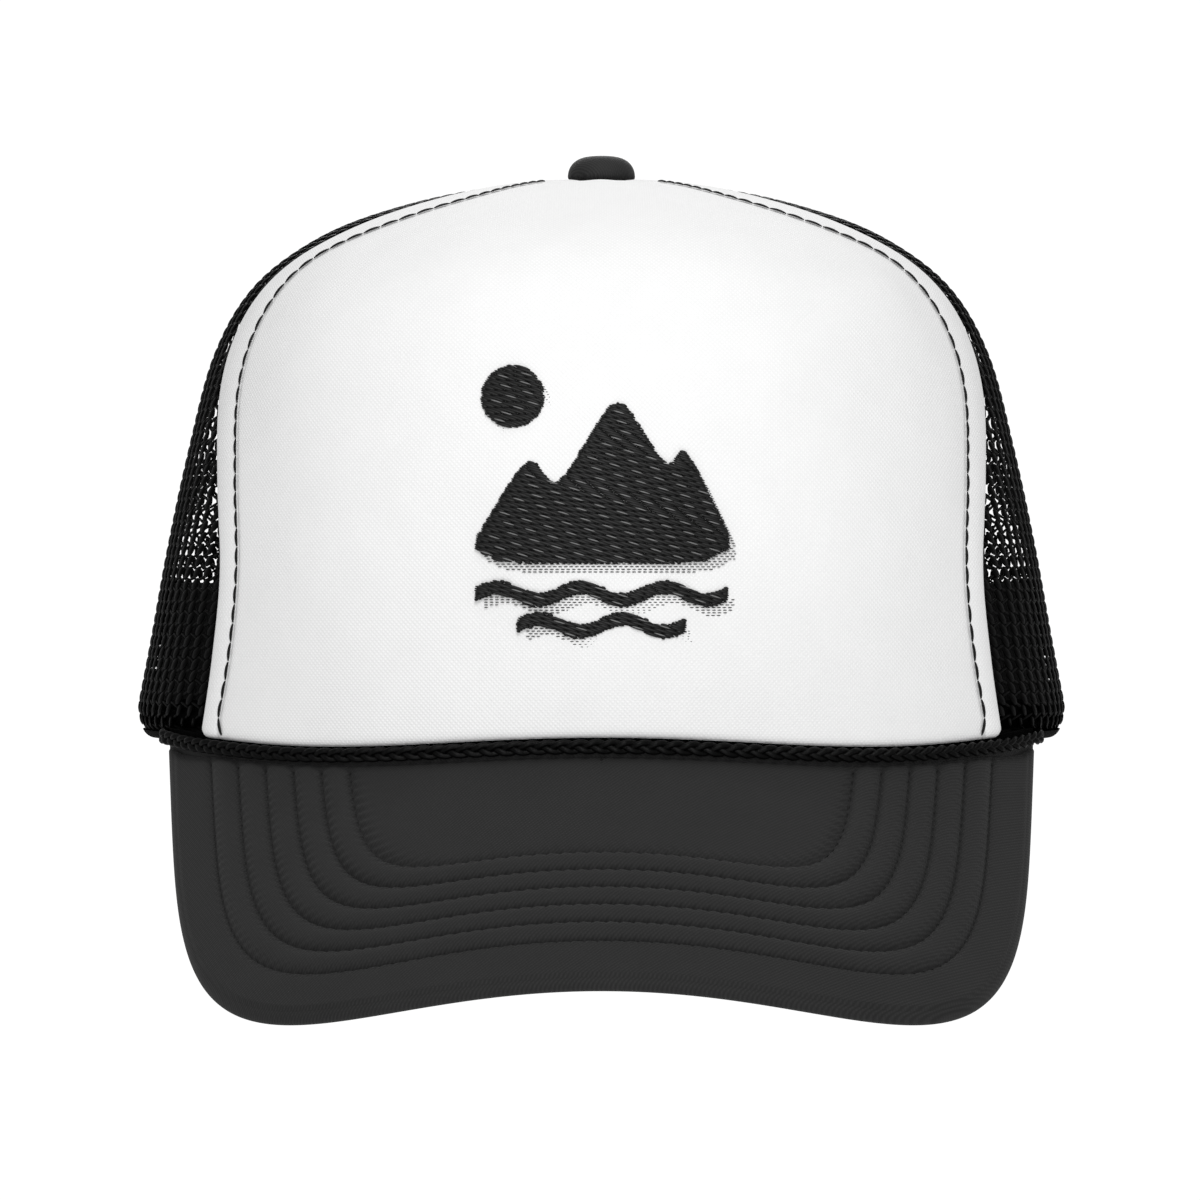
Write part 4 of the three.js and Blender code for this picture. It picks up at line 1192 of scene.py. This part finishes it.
def build_tapes():
    for side, word in ((-1, "left"), (1, "right")):
        build_tape(f"front_tape_{word}", f"front_seam_tape_{word}", foam_line(side),
                   FOAM_THICKNESS, FOOT_SHARE)
        build_tape(f"side_tape_{word}", f"side_seam_tape_{word}", steady_line(side * SIDE_SEAM),
                   MESH_THICKNESS, 0.055)
    low = float(share_at_height(180.0, OPENING_HEIGHT + BINDING_WIDTH + 1))
    build_tape("rear_tape", "rear_seam_tape", steady_line(180.0), MESH_THICKNESS, low)


# ------------------------------------------------------------------ sweatband and label

SWEATBAND_FACE = -5.0
SWEATBAND_BACK = -3.8
BAND_SEAM_INSET = 2.6
BAND_HEM_GAP = 0.8
BAND_SIDE_RISE = 3.0
LABEL_HALF_TURN = 8.0
LABEL_LOW, LABEL_HIGH = 9.0, 29.0
LABEL_MARGIN = 1.0


def sweatband_low(bearing):
    """Height of the sweatband's lower edge, which stays above the hem at the sides."""
    turn = np.abs(bearing)
    side_rise = BAND_SIDE_RISE * smooth(turn, 56, 66) * (1 - smooth(turn, 100, 120))
    return hem_height(bearing) + BAND_HEM_GAP + side_rise


def build_sweatband():
    bearing = np.linspace(-SWEATBAND_END, SWEATBAND_END, 260)[:, None]
    up = np.concatenate([[0, 0.02, 0.05], np.linspace(0.1, 0.9, 17), [0.95, 0.98, 1]])[None, :]
    low = sweatband_low(bearing)
    height = low + (SWEATBAND_TOP - low) * up
    bearing, up = np.broadcast_arrays(bearing, up)
    share = share_at_height(bearing, height)
    edge = np.minimum(height - low, SWEATBAND_TOP - height)
    fold = 0.6 * rounded(edge, 1.2)
    seam = 0.3 * np.exp(-((edge - BAND_SEAM_INSET) / 0.7) ** 2)
    pad = 0.5 * np.sin(math.pi * up) * (1 - smooth(np.abs(bearing), 60, 90))
    pull = 0.12 * np.sin(bearing * 2.9) * np.exp(-edge / 4)
    face = crown(bearing, share, SWEATBAND_FACE + fold + seam - pad + pull)
    back = crown(bearing, share, SWEATBAND_BACK - fold + 1.4 * smooth(np.abs(bearing), 58, 66))
    piece = make_sheet("sweatband_padded", face, back, band_uv(bearing, height), SWEAT,
                       "sweatband", replaces=["sweatband"])
    turn = np.linspace(-SWEATBAND_END + 1, SWEATBAND_END - 1, 500)
    sew = []
    for height in (sweatband_low(turn) + BAND_SEAM_INSET,
                   np.full(turn.shape, SWEATBAND_TOP - BAND_SEAM_INSET)):
        share = share_at_height(turn, height)
        line = crown(turn, share, SWEATBAND_FACE + 0.28)
        sew.append(stitches(line, -crown_normal(turn, share), 2.8, 2.4, 0.22))
    make_merged("sweatband_stitches", sew, VISOR_THREAD, "sweatband")


def band_pad(height):
    """How far the sweatband's padding stands in from its edges at the front."""
    return 0.5 * np.sin(math.pi * np.clip((height - 3) / 30, 0, 1))


def build_label():
    """A plain woven size label with no lettering, sewn down round its border."""
    bearing = np.linspace(-LABEL_HALF_TURN, LABEL_HALF_TURN, 40)[:, None]
    height = np.linspace(LABEL_LOW, LABEL_HIGH, 30)[None, :]
    bearing, height = np.broadcast_arrays(bearing, height)
    share = share_at_height(bearing, height)
    ease = 0.12 * np.sin(bearing * 0.55 + 1) * np.sin(height * 0.35)
    pad = band_pad(height)
    face = crown(bearing, share, SWEATBAND_FACE - pad - 0.62 + ease)
    back = crown(bearing, share, SWEATBAND_FACE - pad - 0.18 + ease)
    make_sheet("label_woven", face, back, band_uv(bearing, height), LABEL, "label",
               replaces=["size_label"])
    turn, low, high = LABEL_HALF_TURN - 0.8, LABEL_LOW + LABEL_MARGIN, LABEL_HIGH - LABEL_MARGIN
    corners = np.array([(-turn, low), (turn, low), (turn, high), (-turn, high), (-turn, low)])
    lengths = (BAND_DEGREE_LENGTH, 1)
    path = resample(corners * lengths, 300) / lengths
    share = share_at_height(path[:, 0], path[:, 1])
    line = crown(path[:, 0], share, SWEATBAND_FACE - band_pad(path[:, 1]) - 0.66)
    verts, faces = stitches(line, -crown_normal(path[:, 0], share), 2.0, 1.7, 0.16)
    make_piece("label_stitches", verts, faces, LABEL, "label")

# ------------------------------------------------------------------ top button

BUTTON_RADIUS = 7.05
BUTTON_BASE = 116.9
BUTTON_TOP = 122.3
RIM_HEIGHT = BUTTON_BASE + 1.2


def turned(profile, segments=96, wobble=None):
    """A round piece from a closed outline of radius and height."""
    profile = np.array(profile, float)
    turn = np.arange(segments) * 2 * math.pi / segments
    radius = np.repeat(profile[:, :1], segments, 1)
    height = np.repeat(profile[:, 1:], segments, 1)
    if wobble:
        radius = radius * (1 + wobble(turn[None, :], height))
    rings = np.stack([radius * np.cos(turn), radius * np.sin(turn), height], -1)
    closed = np.concatenate([rings, rings[:1]])
    faces = grid_faces(len(closed), segments, wrap=True)
    count = len(profile) * segments
    faces = [tuple(k % count for k in face) for face in faces]
    verts = rings.reshape(-1, 3)
    return verts, facing_out(verts, faces)


def dome(radius, base, top, count=14, tip=0.05):
    turn = np.linspace(0, math.pi / 2, count)
    points = np.stack([radius * np.cos(turn) ** 0.62, base + (top - base) * np.sin(turn)], -1)
    points[-1, 0] = tip
    return points


def build_button():
    thickness = 0.6
    mouth = 4.6

    def gather(turn, height):
        low = np.clip((RIM_HEIGHT + 0.8 - height) / 2, 0, 1)
        return 0.012 * low * np.sin(18 * turn)

    foot = [(mouth, BUTTON_BASE), (BUTTON_RADIUS - 1.0, BUTTON_BASE),
            (BUTTON_RADIUS - 0.35, BUTTON_BASE + 0.3), (BUTTON_RADIUS - 0.05, BUTTON_BASE + 0.8)]
    outer = dome(BUTTON_RADIUS, RIM_HEIGHT, BUTTON_TOP)
    inner = dome(BUTTON_RADIUS - thickness, RIM_HEIGHT, BUTTON_TOP - thickness)[::-1]
    lip = [(BUTTON_RADIUS - 1.2, BUTTON_BASE + thickness), (mouth, BUTTON_BASE + thickness)]
    verts, faces = turned([*foot, *outer, *inner, *lip], wobble=gather)
    uv = verts[:, :2] * MM * (1 + (BUTTON_TOP - verts[:, 2:]) * 0.08)
    make_piece("button_cloth", verts, faces, BUTTON_CLOTH, "button_fabric",
               replaces=["button_cover"], uv=uv)
    gap, wall = 0.3, 0.5
    top = BUTTON_TOP - thickness - gap
    radius = BUTTON_RADIUS - thickness - gap
    cup = [*dome(radius, RIM_HEIGHT, top), *dome(radius - wall, RIM_HEIGHT, top - wall)[::-1]]
    make_piece("button_cup", *turned(cup), METAL, "button_metal", replaces=["button_shell"])
    stem = top - wall - gap
    rivet = [(0.05, 112.3), (1.3, 112.3), (1.5, 112.5), (1.5, stem - 1.2), (1.9, stem - 0.9),
             (3, stem - 0.8), (3, stem), (0.05, stem)]
    make_piece("button_rivet", *turned(rivet, 64), METAL, "button_metal",
               replaces=["button_shank"])
    plate = [(1.8, 110.95), (2.6, 110.9), (5.6, 110.95), (6.6, 111.05), (7, 111.35), (6.9, 111.7),
             (6.4, 111.75), (5.2, 111.6), (2.8, 112.15), (1.8, 112.2)]
    make_piece("button_washer", *turned(plate), METAL, "button_metal",
               replaces=["button_back_plate"])


# ------------------------------------------------------------------ snap closure

STRAP_LOW, STRAP_HIGH = 1.5, 19.5
STRAP_THICKNESS = 1.2
STRAP_TIP = -14.1
STRAP_END = 35.5
SNAP_PITCH = 5.6
SNAP_TURNS = [(4 - i) * SNAP_PITCH for i in range(7)]
STRAP_MIDDLE = (STRAP_LOW + STRAP_HIGH) / 2
MM_PER_DEGREE = 1 / float(degrees_for(1.0, 180.0, share_at_height(180.0, STRAP_MIDDLE)))
STUD_CENTRE = -2.8
HOLE_CENTRE = -1.2
HOLE_RADIUS = 2.6
FIRST_CUT, CUT_SPACING = 1.1, 1.3
PLATE_BEVEL = 0.22
BLEND_START, BLEND_END = 27.6, 23.6


def strap_to_cap(side, run, height, lift, centre):
    """A point on a bent strap: run is its length from the rear middle to its own root."""
    turn = run / MM_PER_DEGREE
    sunk = centre + (STUD_CENTRE - centre) * smooth(turn, 23.6, 26.2)
    bearing = 180 - side * turn
    return crown(bearing, share_at_height(bearing, height), sunk + lift)


def rounded_bar(low, high, bottom, top, tip_radius, root_radius, steps=14):
    """A bar's outline with round corners, wider ones at its tip."""
    corners = [(low, bottom, tip_radius, 180), (high, bottom, root_radius, 270),
               (high, top, root_radius, 0), (low, top, tip_radius, 90)]
    points = []
    for x, y, radius, start in corners:
        cx = x + radius if x == low else x - radius
        cy = y + radius if y == bottom else y - radius
        for turn in np.radians(start + np.linspace(0, 90, steps)):
            points.append((cx + radius * math.cos(turn), cy + radius * math.sin(turn)))
    return points


def flat_plate(outlines, thickness, bevel):
    """A flat plate with rounded edges from an outline and its holes, as verts and faces."""
    curve = bpy.data.curves.new("plate_outline", "CURVE")
    curve.dimensions = "2D"
    curve.fill_mode = "BOTH"
    curve.extrude = thickness / 2 - bevel
    curve.bevel_depth = bevel
    curve.bevel_resolution = 2
    curve.offset = -bevel
    for outline in outlines:
        spline = curve.splines.new("POLY")
        spline.points.add(len(outline) - 1)
        spline.use_cyclic_u = True
        for point, (x, y) in zip(spline.points, outline):
            point.co = (x, y, 0, 1)
    holder = bpy.data.objects.new("plate_outline", curve)
    bpy.context.collection.objects.link(holder)
    bpy.context.view_layer.update()
    mesh = bpy.data.meshes.new_from_object(
        holder.evaluated_get(bpy.context.evaluated_depsgraph_get()))
    bpy.data.objects.remove(holder)
    bpy.data.curves.remove(curve)
    shape = bmesh.new()
    shape.from_mesh(mesh)
    bpy.data.meshes.remove(mesh)
    bmesh.ops.remove_doubles(shape, verts=shape.verts, dist=0.002)
    xs = [v.co.x for v in shape.verts]
    for cut in np.arange(min(xs) + FIRST_CUT, max(xs), CUT_SPACING):
        whole = list(shape.verts) + list(shape.edges) + list(shape.faces)
        bmesh.ops.bisect_plane(shape, geom=whole, dist=1e-4, plane_co=(cut, 0, 0),
                               plane_no=(1, 0, 0))
    verts = np.array([v.co for v in shape.verts])
    shape.verts.ensure_lookup_table()
    faces = [tuple(v.index for v in face.verts) for face in shape.faces]
    shape.free()
    return verts, faces


def snap_frame(side, turn, centre):
    """Where a snap sits, with two directions along the strap and one out of the crown."""
    run = turn * MM_PER_DEGREE
    here = strap_to_cap(side, np.array([run]), np.array([STRAP_MIDDLE]), 0.0, centre)[0]
    out = strap_to_cap(side, np.array([run]), np.array([STRAP_MIDDLE]), 1.0, centre)[0] - here
    up = strap_to_cap(side, np.array([run]), np.array([STRAP_MIDDLE + 1]), 0.0, centre)[0] - here
    out = out / np.linalg.norm(out)
    aside = np.cross(up, out)
    aside = aside / np.linalg.norm(aside)
    return here, np.array([aside, np.cross(out, aside), out])


def build_strap(name, nodes, side, centre, holes):
    low, high = STRAP_TIP * MM_PER_DEGREE + 0.2, STRAP_END * MM_PER_DEGREE
    outlines = [rounded_bar(low, high, STRAP_LOW, STRAP_HIGH, 7.5, 1.5)]
    if holes:
        outlines += [circle_outline(turn * MM_PER_DEGREE, STRAP_MIDDLE, HOLE_RADIUS, 40)
                     for turn in SNAP_TURNS]
    flat, faces = flat_plate(outlines, STRAP_THICKNESS, PLATE_BEVEL)
    parts = [(strap_to_cap(side, flat[:, 0], flat[:, 1], flat[:, 2], centre), faces)]
    half = STRAP_THICKNESS / 2
    if holes:
        fitting = [(2.62, half - 0.3), (3.7, half - 0.3), (3.7, half + 0.1), (3.45, half + 0.28),
                   (2.9, half + 0.28), (2.62, half + 0.1)]
    else:
        fitting = [(0.05, half - 0.3), (2.9, half - 0.3), (2.9, half + 0.15), (2.6, half + 0.3),
                   (1.75, half + 0.42), (1.72, half + 1.25), (2.0, half + 1.5), (2.05, half + 1.8),
                   (1.8, half + 2.1), (1.2, half + 2.28), (0.05, half + 2.3)]
    ring, ring_faces = turned(fitting, 40)
    for turn in SNAP_TURNS:
        here, frame_axes = snap_frame(side, turn, centre)
        parts.append((here + ring @ frame_axes, ring_faces))
    verts, faces = merged([(v, facing_out(v, f)) for v, f in parts])
    piece = make_piece(name, verts, faces, PLASTIC, "strap_plastic", body=None, replaces=nodes)
    shade_by_angle(piece)
    ends = [strap_to_cap(side, np.array([turn * MM_PER_DEGREE]), np.array([STRAP_MIDDLE]), 0.0,
                         centre)[0] * MM for turn in (BLEND_START, BLEND_END)]
    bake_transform(piece)


def shade_by_angle(piece, limit=math.radians(40)):
    """Keeps true edges crisp and bends smooth."""
    mesh = piece.data
    mesh.polygons.foreach_set("use_smooth", [True] * len(mesh.polygons))
    mesh.set_sharp_from_angle(angle=limit)


def build_closure():
    build_strap("strap_studs", ["closure_strap_studs", "closure_anchor_left"], -1,
                STUD_CENTRE, holes=False)
    build_strap("strap_holes", ["closure_strap_holes", "closure_anchor_right"], 1,
                HOLE_CENTRE, holes=True)

# ------------------------------------------------------------------ studio

# This section is in metres.

FLOOR_DEPTH = 1.3
FLOOR_REACH = 2.5
BACKDROP_RADIUS = 8
WORLD_STRENGTH = 0.44
MIDDLE_OF_CAP = (0.0, 0.0, 0.03)
CAMERA_PLACE = (-0.0003, -1.1, 0.029)
# Each light's place, the width of its disk and its power in watts.
LIGHTS = {
    "key": ((0.1, -1.7, 1.5), 0.9, 19),
    "level": ((0.1, -2.0, 0.4), 0.9, 9.4),
    "low": ((0.0, -1.7, -0.7), 0.9, 4.4),
    "top": ((0.0, -0.3, 2.0), 1.2, 6),
    "back": ((0.0, 1.9, 1.3), 1.4, 15),
}


def area_light(name, place, size, power):
    lamp = bpy.data.lights.new(name, "AREA")
    lamp.shape = "DISK"
    lamp.size = size
    lamp.energy = power
    holder = bpy.data.objects.new(name, lamp)
    bpy.context.collection.objects.link(holder)
    holder.location = place
    aim = Vector(MIDDLE_OF_CAP) - Vector(place)
    holder.rotation_euler = aim.to_track_quat("-Z", "Y").to_euler()


def plain_material(name, colour, glow):
    """A matt studio surface that also gives off light."""
    material = bpy.data.materials.new(name)
    material.use_nodes = True
    shader = material.node_tree.nodes["Principled BSDF"]
    shader.inputs["Base Color"].default_value = (*colour, 1)
    shader.inputs["Roughness"].default_value = 0.9
    shader.inputs["Emission Color"].default_value = (1, 1, 1, 1)
    shader.inputs["Emission Strength"].default_value = glow
    return material


def build_floor():
    corners = ((-1, -1), (1, -1), (1, 1), (-1, 1))
    mesh = bpy.data.meshes.new("floor")
    mesh.from_pydata([(x * FLOOR_REACH, y * FLOOR_REACH, -FLOOR_DEPTH) for x, y in corners],
                     [], [(0, 1, 2, 3)])
    mesh.materials.append(plain_material("floor", grey(235), 0.25))
    floor = bpy.data.objects.new("floor", mesh)
    bpy.context.collection.objects.link(floor)


def build_backdrop():
    """A white dome that only the camera sees."""
    bpy.ops.mesh.primitive_ico_sphere_add(subdivisions=4, radius=BACKDROP_RADIUS)
    backdrop = bpy.context.object
    backdrop.name = "backdrop"
    backdrop.data.materials.append(plain_material("backdrop_white", (0, 0, 0), 1.05))
    for kind in ("visible_diffuse", "visible_glossy", "visible_transmission",
                 "visible_volume_scatter", "visible_shadow"):
        setattr(backdrop, kind, False)


def build_studio():
    world = bpy.data.worlds.new("studio")
    bpy.context.scene.world = world
    world.use_nodes = True
    background = world.node_tree.nodes["Background"]
    background.inputs["Color"].default_value = (1, 1, 1, 1)
    background.inputs["Strength"].default_value = WORLD_STRENGTH
    build_floor()
    build_backdrop()
    for name, values in LIGHTS.items():
        area_light(name, *values)
    bpy.context.scene.view_settings.view_transform = "Standard"


def build_camera():
    camera = bpy.data.cameras.new("camera")
    camera.sensor_width = 36.0
    camera.lens = 156.9
    holder = bpy.data.objects.new("camera", camera)
    bpy.context.collection.objects.link(holder)
    holder.location = CAMERA_PLACE
    holder.rotation_euler = (math.pi / 2, 0, 0)
    bpy.context.scene.camera = holder


build_camera()
build_studio()
build_foam_panel()
build_topstitch()
build_nets()
build_visor_cover("visor_cloth_top", "visor_top_cover", under=False)
build_visor_cover("visor_cloth_under", "visor_under_cover", under=True)
build_visor_rows()
build_braid()
build_visor_seam()
build_embroidery()
build_bindings()
build_tapes()
build_sweatband()
build_label()
build_button()
build_closure()
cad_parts["visor_board"].data.materials.clear()
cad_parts["visor_board"].data.materials.append(BOARD)
